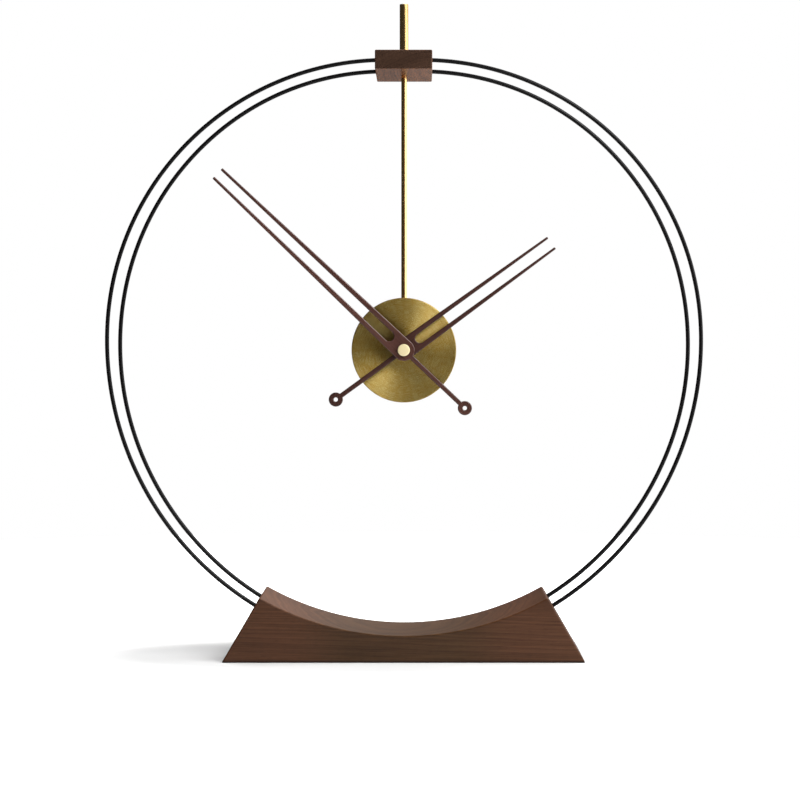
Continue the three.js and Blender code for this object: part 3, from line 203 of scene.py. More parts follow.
class HandSizes(PropertyGroup):
    """What the two hands share"""
    edge: size("Edge", "Radius of the eased edges", 0.8)
    ring_place: size("Ring place", "From the pivot to the ring on the tail", 69.6)
    ring: size("Ring", "Diameter of the ring on the tail", 11.8)
    ring_hole: size("Ring hole", "Diameter of the hole in the ring", 3.4)
    bush_wall: size("Bush wall", "Thickness of the bush's wall and flange", 1.3)
    bush_seat: size("Bush seat", "Gap between the hand and the bush's flange", 0.1)


class MovementSizes(PropertyGroup):
    """Quartz movement at the back"""
    moulded_edge: size("Moulded edge", "Radius of the moulded edges", 0.25)
    mark_depth: size("Mark depth", "How far a raised mark stands out", 0.25)
    arrow_radius: size("Arrow radius", "Radius of the arrows round the setting knob", 8.6)
    arrow_width: size("Arrow width", "Width of the arrows' line", 0.9)
    cell_lip: size("Cell lip", "Width of the sleeve's turned-in ends", 0.8)
    cell_sides: count("Cell sides", "Sides of the battery", 64)


class FinishColours(PropertyGroup):
    """Colours of the finishes"""
    walnut_dark: tint(
        "Walnut, dark", "Dark grain of the foot and the block", 0.035, 0.0138, 0.0066,
    )
    walnut_light: tint(
        "Walnut, light", "Light grain of the foot and the block", 0.104, 0.0440, 0.0215,
    )
    hand_dark: tint("Hand, dark", "Dark grain of the hands", 0.038, 0.0150, 0.0118)
    hand_light: tint("Hand, light", "Light grain of the hands", 0.110, 0.0485, 0.0385)
    steel_black: tint("Black lacquer", "Lacquer on the hoops", 0.0045, 0.0042, 0.0045)
    brass: tint("Brass", "Bright scores of the turned brass", 1.0, 0.97, 0.48)
    brass_dark: tint("Brass, dark", "Dull scores of the turned brass", 0.40, 0.205, 0.001)
    rod_brass: tint("Rod brass", "Drawn and lacquered brass", 0.90, 0.57, 0.22)
    # The cap's brass colour, made pale as a painted reflection of bright light
    pale_brass: tint("Pale brass", "Polished cap", 0.85, 0.73, 0.43)
    plastic: tint("Black plastic", "Movement's housing and knob", 0.012, 0.012, 0.013)
    gear_plastic: tint("Gear plastic", "Wheels of the movement", 0.74, 0.72, 0.66)
    rubber: tint("Rubber", "Washer behind the face", 0.010, 0.010, 0.010)
    steel: tint("Steel", "Contacts, stator and crystal", 0.55, 0.56, 0.58)
    copper: tint("Copper", "Winding", 0.48, 0.17, 0.07)
    board: tint("Board", "Circuit board", 0.012, 0.085, 0.035)
    magnet: tint("Magnet", "Rotor", 0.045, 0.045, 0.050)
    sleeve: tint("Sleeve", "Body of the battery's sleeve", 0.050, 0.060, 0.080)
    sleeve_band: tint("Sleeve band", "Band at the battery's positive end", 0.42, 0.43, 0.45)
    floor: tint("Floor", "Floor and surroundings", 0.86, 0.86, 0.86)


GROUPS = {
    "clock_foot": FootSizes,
    "clock_block": BlockSizes,
    "clock_hoops": HoopSizes,
    "clock_rods": RodSizes,
    "clock_case": CaseSizes,
    "clock_fittings": FittingSizes,
    "clock_minute_hand": MinuteHandSizes,
    "clock_hour_hand": HourHandSizes,
    "clock_hands": HandSizes,
    "clock_movement": MovementSizes,
    "clock_colours": FinishColours,
}


# Outlines in the front plane, as lists of (x, z) or (across, along)

def spread(start, end, number):
    """Equal steps from start to end, both included"""
    return [start + (end - start) * i / number for i in range(number + 1)]


def at_angle(centre, radius, angle):
    """The point at an angle and a distance from a centre"""
    return (centre[0] + radius * cos(angle), centre[1] + radius * sin(angle))


def arc(centre, radius, start, end, number):
    """Points round a centre from one angle to another"""
    return [at_angle(centre, radius, angle) for angle in spread(start, end, number)]


def circle(centre, radius, number):
    """A closed circle"""
    return arc(centre, radius, 0, tau, number)[:-1]


def area(outline):
    """Signed area of a closed outline, positive if it runs anticlockwise"""
    return sum(
        a[0] * b[1] - b[0] * a[1] for a, b in zip(outline, outline[1:] + outline[:1])
    ) / 2


def softened(outline, radius):
    """The outline with its sharp corners rounded, which take up less than half of each side"""
    least_bend, side_share, steps = radians(20), 0.45, 5
    points = []
    for i, corner in enumerate(outline):
        here = Vector(corner)
        before = Vector(outline[i - 1]) - here
        after = Vector(outline[(i + 1) % len(outline)]) - here
        bend = pi - before.angle(after)
        if bend < least_bend:
            points.append(corner)
            continue
        room = side_share * min(before.length, after.length)
        reach = min(radius * abs(sin(bend / 2) / cos(bend / 2)), room)
        start, end = here + before.normalized() * reach, here + after.normalized() * reach
        for share in spread(0, 1, steps):
            # A quadratic curve between the two tangent points
            point = start.lerp(here, share).lerp(here.lerp(end, share), share)
            points.append((point.x, point.y))
    return points


# Meshes

# Points that lie closer together than this are merged
SAME_POINT = 1e-7


def mesh_of(name, points, faces):
    """A closed mesh with merged points, and faces that look outwards"""
    mesh = bpy.data.meshes.new(name)
    mesh.from_pydata([tuple(point) for point in points], [], faces)
    work = bmesh.new()
    work.from_mesh(mesh)
    bmesh.ops.remove_doubles(work, verts=work.verts, dist=SAME_POINT)
    loose = [edge for edge in work.edges if not edge.link_faces]
    bmesh.ops.delete(work, geom=loose, context="EDGES")
    bmesh.ops.recalc_face_normals(work, faces=work.faces)
    work.to_mesh(mesh)
    work.free()
    return mesh


def turned(name, profile, sides, axis="Y", centre=PIVOT):
    """A closed profile of (radius, along) turned round an axis through the centre. Along counts
    from the world's origin in the axis's direction."""
    rows = len(profile)
    points = [
        (radius * cos(tau * i / sides), radius * sin(tau * i / sides), along)
        for i in range(sides) for radius, along in profile
    ]
    faces = []
    for i in range(sides):
        here, there = i * rows, (i + 1) % sides * rows
        for j in range(rows):
            k = (j + 1) % rows
            faces.append((here + j, here + k, there + k, there + j))
    to_axis = {
        "X": Matrix.Rotation(pi / 2, 4, "Y"), "Y": Matrix.Rotation(-pi / 2, 4, "X"),
        "Z": Matrix.Identity(4),
    }[axis]
    across = Vector([0 if letter == axis else value for letter, value in zip("XYZ", centre)])
    place = Matrix.Translation(across) @ to_axis
    return mesh_of(name, [place @ Vector(point) for point in points], faces)


def prism(name, outline, front, back):
    """A straight prism of an outline, with one flat face at each end"""
    number = len(outline)
    points = [(x, y, z) for y in (front, back) for x, z in outline]
    faces = [tuple(range(number)), tuple(range(2 * number - 1, number - 1, -1))]
    faces += [(i, number + i, number + (i + 1) % number, (i + 1) % number) for i in range(number)]
    return mesh_of(name, points, faces)


def slab(name, outline, holes, front, back, edge, steps=4):
    """A plate with round edges all round its outline and its holes, and exact normals"""
    # Keeps a very sharp corner from moving more than 2.5 times as far as its sides
    sharpest = 0.4
    loops = [outline if area(outline) > 0 else outline[::-1]]
    loops += [hole if area(hole) < 0 else hole[::-1] for hole in holes]
    levels = [
        (edge * (1 - sin(angle)), front + edge * (1 - cos(angle)), angle)
        for angle in spread(0, pi / 2, steps)
    ]
    levels += [(inset, front + back - y, pi - angle) for inset, y, angle in reversed(levels)]
    points, normals, faces, first = [], [], [], 0
    caps = []
    for loop in loops:
        number = len(loop)
        ways = []
        for i in range(number):
            a, b = Vector(loop[i - 1]), Vector(loop[i])
            way = (b - a).normalized()
            ways.append(Vector((way.y, -way.x)))
        outward = [(ways[i] + ways[(i + 1) % number]).normalized() for i in range(number)]
        stretch = [1 / max(outward[i].dot(ways[i]), sharpest) for i in range(number)]
        for inset, y, angle in levels:
            for point, out, more in zip(loop, outward, stretch):
                points.append((
                    point[0] - out.x * inset * more, y, point[1] - out.y * inset * more,
                ))
                normals.append((out.x * sin(angle), -cos(angle), out.y * sin(angle)))
        for level in range(len(levels) - 1):
            row = first + level * number
            for i in range(number):
                k = (i + 1) % number
                faces.append((row + i, row + number + i, row + number + k, row + k))
        last = first + (len(levels) - 1) * number
        caps.append((range(first, first + number), range(last, last + number)))
        first += len(levels) * number
    for end in (0, 1):
        indices = [i for cap in caps for i in cap[end]]
        flat = [[Vector((points[i][0], points[i][2], 0)) for i in cap[end]] for cap in caps]
        for triangle in tessellate_polygon(flat):
            corners = [indices[i] for i in triangle]
            forward = area([(points[i][0], points[i][2]) for i in corners]) > 0
            faces.append(tuple(corners if forward == (end == 0) else reversed(corners)))
    mesh = bpy.data.meshes.new(name)
    mesh.from_pydata(points, [], faces)
    smoothed(mesh)
    mesh.normals_split_custom_set_from_vertices(normals)
    return mesh


def joined(name, meshes):
    """Several meshes as one"""
    work = bmesh.new()
    for mesh in meshes:
        work.from_mesh(mesh)
    whole = bpy.data.meshes.new(name)
    work.to_mesh(whole)
    work.free()
    return whole


def shown(name, mesh):
    """A mesh as an object of the scene"""
    thing = bpy.data.objects.new(name, mesh)
    bpy.context.scene.collection.objects.link(thing)
    return thing


def rounded(thing, radius, steps=4, least=radians(25)):
    """Eases the edges of a piece that bend more than the least angle"""
    bevel = thing.modifiers.new("Eased edges", "BEVEL")
    bevel.width = radius
    bevel.segments = steps
    bevel.limit_method = "ANGLE"
    bevel.angle_limit = least
    bevel.use_clamp_overlap = True


def carved(thing, cutter, operation="DIFFERENCE"):
    """Cuts a piece with a mesh, or keeps what they share. The mesh itself isn't kept."""
    tool = shown("cutter", cutter)
    carving = thing.modifiers.new("Cut", "BOOLEAN")
    carving.object = tool
    carving.operation = operation
    carving.solver = "EXACT"
    settled(thing)
    bpy.data.objects.remove(tool)


def settled(thing):
    """Makes a piece's modifiers part of its mesh"""
    graph = bpy.context.evaluated_depsgraph_get()
    mesh = bpy.data.meshes.new_from_object(thing.evaluated_get(graph), depsgraph=graph)
    thing.modifiers.clear()
    thing.data = mesh


def smoothed(mesh):
    """Smooth shading on all faces of a mesh"""
    mesh.polygons.foreach_set("use_smooth", [True] * len(mesh.polygons))


def shaded(thing, sharp=radians(32)):
    """Smooth shading that keeps flat faces flat and sharp edges sharp"""
    smoothed(thing.data)
    thing.data.set_sharp_from_angle(angle=sharp)
    weighted = thing.modifiers.new("Flat faces", "WEIGHTED_NORMAL")
    weighted.keep_sharp = True


def fitted(thing, body, kind, look, *nodes):
    """Gives a piece its finish, lets it ride on a body, and hides the nodes it stands for"""
    thing.data.materials.clear()
    thing.data.materials.append(finish(look))
    if nodes:
        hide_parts(*nodes)
    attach(thing, body)


def refinish(look, *nodes):
    """Gives CAD nodes a finish"""
    for node in nodes:
        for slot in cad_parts[node].material_slots:
            slot.material = finish(look)


# Finishes

def shade(colour, share):
    """A colour made darker, or lighter if the share is above 1"""
    return [share * part for part in colour]


class Nodes:
    """Short calls for the nodes of a material or of the surroundings"""

    def __init__(self, tree):
        self.tree = tree

    def feed(self, socket, value):
        """Sets a socket, or links it if the value is another socket"""
        if isinstance(value, bpy.types.NodeSocket):
            self.tree.links.new(value, socket)
        else:
            socket.default_value = value

    def node(self, kind, inputs=None, **settings):
        """A node with its settings and inputs"""
        node = self.tree.nodes.new(kind)
        for name, value in settings.items():
            setattr(node, name, value)
        for name, value in (inputs or {}).items():
            self.feed(node.inputs[name], value)
        return node

    def math(self, operation, a, b=0.0, c=0.0):
        """A sum with up to three numbers"""
        return self.node("ShaderNodeMath", {0: a, 1: b, 2: c}, operation=operation).outputs[0]

    def weighted(self, first, *others):
        """The sum of numbers, each given with its share"""
        total = self.math("MULTIPLY", *first)
        for value, share in others:
            total = self.math("MULTIPLY_ADD", value, share, total)
        return total

    def distance(self, a, b):
        """How far the point (a, b) lies from the origin"""
        squares = [self.math("POWER", value, 2.0) for value in (a, b)]
        return self.math("SQRT", self.math("ADD", *squares))

    def split(self, vector):
        """The three parts of a vector"""
        return self.node("ShaderNodeSeparateXYZ", {0: vector}).outputs

    def joint(self, x, y, z):
        """A vector of three numbers"""
        return self.node("ShaderNodeCombineXYZ", {0: x, 1: y, 2: z}).outputs[0]

    def scaled(self, vector, x, y, z):
        """A vector scaled along each axis, which gives noise so many specks to a metre"""
        node = self.node("ShaderNodeMapping", {"Vector": vector, "Scale": (x, y, z)})
        return node.outputs[0]

    def rotated(self, vector, angles):
        """A vector turned round each axis"""
        node = self.node("ShaderNodeMapping", {"Vector": vector, "Rotation": angles})
        return node.outputs[0]

    def noise(self, vector, scale=1.0, detail=2.0, rough=0.5):
        """Soft noise in space, from 0 to 1"""
        node = self.node("ShaderNodeTexNoise", {
            "Vector": vector, "Scale": scale, "Detail": detail, "Roughness": rough,
        })
        return node.outputs["Fac"]

    def line_noise(self, value, detail=2.0, rough=0.5):
        """Soft noise along one number, from 0 to 1"""
        node = self.node("ShaderNodeTexNoise", {
            "W": value, "Scale": 1.0, "Detail": detail, "Roughness": rough,
        }, noise_dimensions="1D")
        return node.outputs["Fac"]

    def spanned(self, value, low, high, to_low=0.0, to_high=1.0, smooth=False):
        """A number moved from one range to another, and kept inside it"""
        node = self.node("ShaderNodeMapRange", {
            "Value": value, "From Min": low, "From Max": high, "To Min": to_low, "To Max": to_high,
        }, interpolation_type="SMOOTHSTEP" if smooth else "LINEAR")
        return node.outputs[0]

    def mixed(self, share, a, b, blend="MIX"):
        """Two colours mixed"""
        node = self.node("ShaderNodeMix", data_type="RGBA", blend_type=blend)
        colours = [socket for socket in node.inputs if socket.type == "RGBA"]
        self.feed(node.inputs[0], share)
        for socket, value in zip(colours, (a, b)):
            self.feed(socket, value if isinstance(value, bpy.types.NodeSocket) else (*value, 1))
        return next(socket for socket in node.outputs if socket.type == "RGBA")

    def rays(self):
        """What kind of ray looks at the surface, and whether it's one that metal or glass sends"""
        rays = self.node("ShaderNodeLightPath").outputs
        return rays, self.math("MAXIMUM", rays["Is Glossy Ray"], rays["Is Transmission Ray"])

    def between(self, share, a, b):
        """Two numbers mixed"""
        return self.node("ShaderNodeMix", {0: share, 2: a, 3: b}, data_type="FLOAT").outputs[0]


class Finish(Nodes):
    """A new material. Plain values go on the shader's own sockets."""

    def __init__(self, name, **plain):
        self.material = bpy.data.materials.new(name)
        self.material.use_nodes = True
        super().__init__(self.material.node_tree)
        self.shader = self.tree.nodes["Principled BSDF"]
        for socket, value in plain.items():
            self.shader.inputs[socket.replace("_", " ")].default_value = value
        self.place = self.node("ShaderNodeTexCoord").outputs["Object"]

    def round_pivot(self):
        """How far a point lies to the right of the hands' pivot, above it, and away from it"""
        x, _, z = self.split(self.place)
        up = self.math("SUBTRACT", z, PIVOT.z)
        return x, up, self.distance(x, up)

    def colour(self, value):
        """The colour of the surface"""
        self.feed(self.shader.inputs["Base Color"], value)

    def roughness(self, value):
        """The roughness of the surface"""
        self.feed(self.shader.inputs["Roughness"], value)

    def roughened(self, value, least, more):
        """A roughness that is least where the value is 0, and that much more where it's 1"""
        self.roughness(self.math("MULTIPLY_ADD", value, more, least))

    def relief(self, height, depth, strength):
        """A surface relief whose height runs from 0 to 1, with its depth in metres"""
        bump = self.node("ShaderNodeBump", {
            "Height": height, "Distance": depth, "Strength": strength,
        })
        self.feed(self.shader.inputs["Normal"], bump.outputs[0])


def walnut(name, dark, light, turn=(0, 0, 0), heart=(0.03, -0.36), slope=0.0, ring=1.4 * MM,
           fibre=1.0, gloss=0.45, end_grain_and_painted_tones=(), dull_to=None, painted_contact_shade=None, varnish=0.3):
    """Oiled walnut whose grain runs along X after the turn. Growth rings lie round the heart, and
    widen or narrow along the grain by the slope. Pores show as short dark streaks. Tones are pairs
    of an axis of the grain and how much lighter or darker the faces across it are. End grain is
    darker as it takes up more oil. A lighter tone on faces that look up is painted light, and on
    the block the darker end grain is partly painted shade. The middle of the length is duller, up
    to dull_to, and towards the bottom the wood is painted dark, a painted shade where it meets the
    floor."""
    wood = Finish(name, Roughness=gloss, Specular_IOR_Level=0, Coat_Weight=varnish,
                  Coat_Roughness=gloss - 0.15)
    place = wood.rotated(wood.place, turn)
    x, y, z = wood.split(place)

    # Growth rings, which waver along the grain, and wider bands of them
    waver, band = 7 * MM, 9 * ring
    wander = wood.noise(wood.scaled(place, 5, 16, 16), detail=3, rough=0.55)
    from_heart = wood.distance(
        wood.math("SUBTRACT", y, heart[0]), wood.math("SUBTRACT", z, heart[1]),
    )
    radius = wood.math("MULTIPLY_ADD", x, slope, from_heart)
    radius = wood.math("MULTIPLY_ADD", wander, waver, radius)
    rings = wood.line_noise(wood.math("DIVIDE", radius, ring), detail=2.5, rough=0.6)
    bands = wood.line_noise(wood.math("DIVIDE", radius, band), detail=1.5)
    late_wood = wood.spanned(rings, 0.30, 0.70)

    def streaks(along, across):
        """Where streaks of that many to a millimetre lie, along and across the grain"""
        per_metre = fibre / MM
        return wood.scaled(place, along * per_metre, across * per_metre, across * per_metre)

    # Fibres and pores, drawn out along the grain, and clouds of lighter and darker wood
    fibres = wood.noise(streaks(0.03, 1.3), detail=4, rough=0.62)
    pore = wood.spanned(wood.noise(streaks(0.16, 3.4), detail=1, rough=0.4), 0.60, 0.72)
    clouds = wood.noise(wood.scaled(place, 9, 22, 22), detail=2)
    grain = wood.weighted((fibres, 0.66), (late_wood, 0.22), (bands, 0.22), (clouds, 0.34))
    body = wood.mixed(wood.spanned(grain, 0.42, 1.02), dark, light)
    pore_share, pore_colour = 0.38, shade(dark, 0.4)
    body = wood.mixed(wood.math("MULTIPLY", pore, pore_share), body, pore_colour)

    # The duller middle, painted shade along the bottom, and each face's tone of end grain, painted
    # light and painted shade
    if dull_to is not None:
        from_middle, dull_tone = wood.math("ABSOLUTE", x), (0.74, 0.86, 0.80)
        dull = wood.spanned(from_middle, 0.4 * dull_to, dull_to, to_low=1, to_high=0, smooth=True)
        body = wood.mixed(dull, body, wood.mixed(1.0, body, dull_tone, "MULTIPLY"))
    if painted_contact_shade is not None:
        # Painted shade: the wood turns dark towards the bottom, which stands in for the shade
        # where the foot meets the floor
        contact_shade_share = wood.spanned(z, 0.3 * painted_contact_shade, painted_contact_shade, to_low=0.92, to_high=0.0)
        body = wood.mixed(contact_shade_share, body, shade(dark, 0.3))
    normal = wood.node("ShaderNodeTexCoord").outputs["Normal"]
    facing = wood.split(wood.rotated(normal, turn))
    # Darker end grain, and painted light or painted shade on faces by the way they look
    for axis, tone in end_grain_and_painted_tones:
        across = wood.spanned(wood.math("ABSOLUTE", facing[axis]), 0.5, 0.9)
        body = wood.mixed(across, body, wood.mixed(1.0, body, tone, "MULTIPLY"))
    wood.colour(body)
    wood.roughness(wood.spanned(fibres, 0.3, 0.7, to_low=gloss - 0.05, to_high=gloss + 0.09))
    height = wood.weighted((fibres, 0.45), (pore, -0.8), (late_wood, 0.15))
    wood.relief(height, depth=0.05 * MM, strength=0.45)
    return wood.material


def black_lacquer(colour):
    """Satin black lacquer on steel, with a faint orange peel"""
    coat = Finish("Black lacquer", Roughness=0.38, Specular_IOR_Level=0, Coat_Weight=0.3,
                  Coat_Roughness=0.25)
    cloud = coat.noise(coat.place, scale=90, detail=3)
    peel = coat.noise(coat.place, scale=1600, detail=1)
    coat.colour(coat.mixed(cloud, shade(colour, 0.7), shade(colour, 1.5)))
    coat.roughness(coat.spanned(cloud, 0.3, 0.7, to_low=0.33, to_high=0.44))
    coat.relief(peel, depth=0.006 * MM, strength=0.6)
    return coat.material


def turned_brass(colour, dark):
    """Brass turned on a lathe: fine scores round the pivot on the face, and round the rim. Bright
    scores are smoother than the dull metal between them."""
    metal = Finish(
        "Turned brass", Metallic=1.0, Roughness=0.45, Anisotropic=0.92, Anisotropic_Rotation=0.25,
    )
    x, up, radius = metal.round_pivot()
    y = metal.split(metal.place)["Y"]
    from_pivot = metal.math("MAXIMUM", radius, MM)
    arcs_round, scores_per_metre, dull_roughness, polish = 6.0, 60000.0, 0.68, 0.34
    across, above = [
        metal.math("MULTIPLY", metal.math("DIVIDE", part, from_pivot), arcs_round)
        for part in (x, up)
    ]
    along = metal.math("ADD", radius, y)

    def scored(number):
        """Noise in arcs round the pivot, with that many to a metre of radius"""
        place = metal.joint(across, above, metal.math("MULTIPLY", along, number))
        return metal.noise(place, detail=1)

    scores, fine, wide = scored(scores_per_metre), scored(9000.0), scored(900.0)
    tarnish = metal.spanned(metal.noise(metal.place, scale=60, detail=3), 0.35, 0.75)
    dull = metal.mixed(tarnish, dark, shade(dark, 0.8))
    bright = metal.spanned(metal.math("MULTIPLY_ADD", wide, 0.02, scores), 0.46, 0.78)
    metal.colour(metal.mixed(bright, dull, colour))
    base = metal.math("MULTIPLY_ADD", bright, -polish, dull_roughness)
    metal.roughened(fine, least=base, more=0.06)
    metal.relief(fine, depth=0.0022 * MM, strength=0.6)
    tangent = metal.node("ShaderNodeTangent", direction_type="RADIAL", axis="Y")
    metal.feed(metal.shader.inputs["Tangent"], tangent.outputs[0])
    return metal.material


def drawn_brass(colour):
    """Brass rod as it's drawn, with faint lines along it"""
    metal = Finish(
        "Drawn brass", Metallic=1.0, Roughness=0.2, Coat_Weight=0.2, Coat_Roughness=0.08,
    )
    lines = metal.noise(metal.scaled(metal.place, 1500, 1500, 12), detail=3, rough=0.6)
    cloud = metal.noise(metal.place, scale=70, detail=3)
    metal.colour(metal.mixed(metal.spanned(cloud, 0.3, 0.75), shade(colour, 0.92), colour))
    metal.roughened(lines, least=0.13, more=0.14)
    metal.relief(lines, depth=0.0003 * MM, strength=0.3)
    return metal.material


def polished_cap(colour):
    """Polished brass, turned in fine rings, with a pale and barely metallic finish. Its pale
    colour is a painted reflection of bright light on the polished face.
    """
    metal = Finish("Polished cap", Metallic=0.12, Roughness=0.3, IOR=1.5)
    _, _, radius = metal.round_pivot()
    rings_per_metre = 7000.0
    rings = metal.line_noise(metal.math("MULTIPLY", radius, rings_per_metre), detail=2)
    cloud = metal.noise(metal.place, scale=300, detail=2)
    metal.colour(metal.mixed(metal.math("MULTIPLY", cloud, 0.5), colour, shade(colour, 0.9)))
    metal.roughened(rings, least=0.18, more=0.12)
    metal.relief(rings, depth=0.002 * MM, strength=0.5)
    return metal.material


def moulded_plastic(name, colour, gloss=0.45, grain=1800):
    """Moulded plastic with a fine spark-eroded grain"""
    plastic = Finish(name, Roughness=gloss, IOR=1.5)
    speckle = plastic.noise(plastic.place, scale=grain, detail=2)
    cloud = plastic.noise(plastic.place, scale=120, detail=2)
    plastic.colour(plastic.mixed(cloud, shade(colour, 0.8), colour))
    plastic.roughened(speckle, least=gloss - 0.07, more=0.14)
    plastic.relief(speckle, depth=0.02 * MM, strength=0.7)
    return plastic.material


def stamped_steel(name, colour, gloss=0.28):
    """Stamped sheet steel with rolling lines and a little uneven gloss"""
    metal = Finish(name, Metallic=1.0, Roughness=gloss)
    lines = metal.noise(metal.scaled(metal.place, 260, 40, 1900), detail=2)
    cloud = metal.noise(metal.place, scale=220, detail=3)
    metal.colour(metal.mixed(cloud, shade(colour, 0.8), colour))
    metal.roughened(cloud, least=gloss - 0.08, more=0.18)
    metal.relief(lines, depth=0.004 * MM, strength=0.5)
    return metal.material


def wound_copper(colour):
    """Enamelled copper wire wound round X in close turns"""
    wire = Finish("Wound copper", Metallic=0.9, Roughness=0.3)
    wire_width = 0.12 * MM
    x = wire.split(wire.place)["X"]
    turns = wire.spanned(
        wire.math("SINE", wire.math("MULTIPLY", x, tau / wire_width)), -1, 1,
    )
    cloud = wire.noise(wire.place, scale=500, detail=2)
    # Painted shade: the wire is darker in the grooves between its turns
    wire.colour(wire.mixed(turns, shade(colour, 0.45), colour))
    wire.roughened(cloud, least=0.2, more=0.2)
    wire.relief(turns, depth=0.05 * MM, strength=0.8)
    return wire.material


def circuit_board(colour):
    """Green solder mask over copper traces"""
    board = Finish("Circuit board", Roughness=0.35, IOR=1.5)
    cells = board.node("ShaderNodeTexVoronoi", {
        "Vector": board.place, "Scale": 420.0,
    }, feature="DISTANCE_TO_EDGE", distance="CHEBYCHEV")
    trace = board.spanned(cells.outputs["Distance"], 0.05, 0.09, to_low=1, to_high=0)
    cloud = board.noise(board.place, scale=400, detail=2)
    mask = board.mixed(cloud, shade(colour, 0.8), colour)
    copper_glow = (0.03, 0.12, 0.03)
    over_copper = [part + more for part, more in zip(colour, copper_glow)]
    board.colour(board.mixed(trace, mask, over_copper))
    board.roughness(board.spanned(trace, 0, 1, to_low=0.42, to_high=0.30))
    board.relief(trace, depth=0.03 * MM, strength=0.6)
    return board.material


def cell_sleeve(colour, band, edge_x):
    """Shrunk plastic sleeve of a battery: a plain body and a plain band past edge_x"""
    sleeve = Finish("Battery sleeve", Roughness=0.28, Metallic=0.35, Coat_Weight=0.3)
    blur = 0.05 * MM
    x = sleeve.split(sleeve.place)["X"]
    side = sleeve.spanned(x, edge_x - blur, edge_x + blur)
    ripple = sleeve.noise(sleeve.scaled(sleeve.place, 60, 260, 260), detail=2)
    sleeve.colour(sleeve.mixed(side, colour, band))
    sleeve.roughened(ripple, least=0.22, more=0.14)
    sleeve.relief(ripple, depth=0.03 * MM, strength=0.4)
    return sleeve.material


CELL_LOW, CELL_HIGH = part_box("battery")

# Where the sleeve's band starts, as a share of the battery's length
CELL_BAND_SHARE = 0.78

# How light the block's wood is beside the foot's, and the hour hand's beside the minute hand's.
# The block's wood is painted lighter, as painted light for the floor's light on its underside
BLOCK_PAINTED_LIGHT_SHARE = 2.0
HOUR_HAND_SHARE = 0.66

# The fine, varnished wood of both hands
HAND_WOOD = {"ring": 0.9 * MM, "fibre": 1.3, "gloss": 0.3, "varnish": 1.0}

# Axes of the grain, for the tones
ALONG_GRAIN, UP = 0, 2

MAKERS = {
    "Foot walnut": lambda c: walnut(
        "Foot walnut", c.walnut_dark, c.walnut_light, slope=0.035,
        # End grain a little darker, and the faces that look up painted lighter: painted light on
        # the hollow top
        end_grain_and_painted_tones=((ALONG_GRAIN, (0.9, 0.9, 0.9)), (UP, (1.76, 1.74, 1.68))),
        # A duller middle, and painted shade along the bottom below the given height
        dull_to=100 * MM, painted_contact_shade=2.6 * MM,
    ),
    "Block walnut": lambda c: walnut(
        "Block walnut", shade(c.walnut_dark, BLOCK_PAINTED_LIGHT_SHARE), shade(c.walnut_light, BLOCK_PAINTED_LIGHT_SHARE),
        turn=(0, 0, radians(90)), heart=(0.05, 0.36), ring=1.1 * MM,
        # End grain darker: partly the real end grain, partly painted shade that takes the block's
        # painted light off its front and back
        end_grain_and_painted_tones=((ALONG_GRAIN, (0.32, 0.40, 0.52)),),
    ),
    "Minute hand walnut": lambda c: walnut(
        "Minute hand walnut", c.hand_dark, c.hand_light, heart=(0.02, -0.09), **HAND_WOOD,
    ),
    "Hour hand walnut": lambda c: walnut(
        "Hour hand walnut", shade(c.hand_dark, HOUR_HAND_SHARE),
        shade(c.hand_light, HOUR_HAND_SHARE), heart=(-0.04, -0.07), **HAND_WOOD,
    ),
    "Black lacquer": lambda c: black_lacquer(c.steel_black),
    "Turned brass": lambda c: turned_brass(c.brass, c.brass_dark),
    "Drawn brass": lambda c: drawn_brass(c.rod_brass),
    "Polished cap": lambda c: polished_cap(c.pale_brass),
    "Black plastic": lambda c: moulded_plastic("Black plastic", c.plastic),
    "Gear plastic": lambda c: moulded_plastic(
        "Gear plastic", c.gear_plastic, gloss=0.38, grain=2600,
    ),
    "Rubber": lambda c: moulded_plastic("Rubber", c.rubber, gloss=0.75, grain=1400),
    "Stamped steel": lambda c: stamped_steel("Stamped steel", c.steel),
    "Sintered magnet": lambda c: stamped_steel("Sintered magnet", c.magnet, gloss=0.5),
    "Wound copper": lambda c: wound_copper(c.copper),
    "Circuit board": lambda c: circuit_board(c.board),
    "Battery sleeve": lambda c: cell_sleeve(
        c.sleeve, c.sleeve_band, CELL_LOW.x + CELL_BAND_SHARE * (CELL_HIGH.x - CELL_LOW.x),
    ),
}


def finish(name):
    """The finish of that name, made the first time it's needed"""
    return bpy.data.materials.get(name) or MAKERS[name](bpy.context.scene.clock_colours)


# Shapes that several pieces share

DRILL_SIDES, NUT_SIDES, BUSH_SIDES, RING_HOLE_SIDES = 32, 48, 48, 40

# A thread's depth, as a share of its pitch, and where its crest starts and ends and its groove
# starts, as shares of a turn
THREAD_DEPTH = 0.3
CREST_START, CREST_END, GROOVE_START = 0.35, 0.5, 0.85


def end_face_at(foot, height):
    """How far from the middle the foot's end face stands at a height"""
    return foot.length / 2 + (foot.top_length - foot.length) / 2 * height / foot.height


def blended(values, share):
    """A smooth curve through equally spaced values"""
    place = share * (len(values) - 1)
    i = min(int(place), len(values) - 2)
    t = place - i
    before, start = values[max(i - 1, 0)], values[i]
    end, after = values[i + 1], values[min(i + 2, len(values) - 1)]
    from_slope, to_slope = (end - before) / 2, (after - start) / 2
    return (
        (2 * start - 2 * end + from_slope + to_slope) * t**3
        + (-3 * start + 3 * end - 2 * from_slope - to_slope) * t**2 + from_slope * t + start
    )


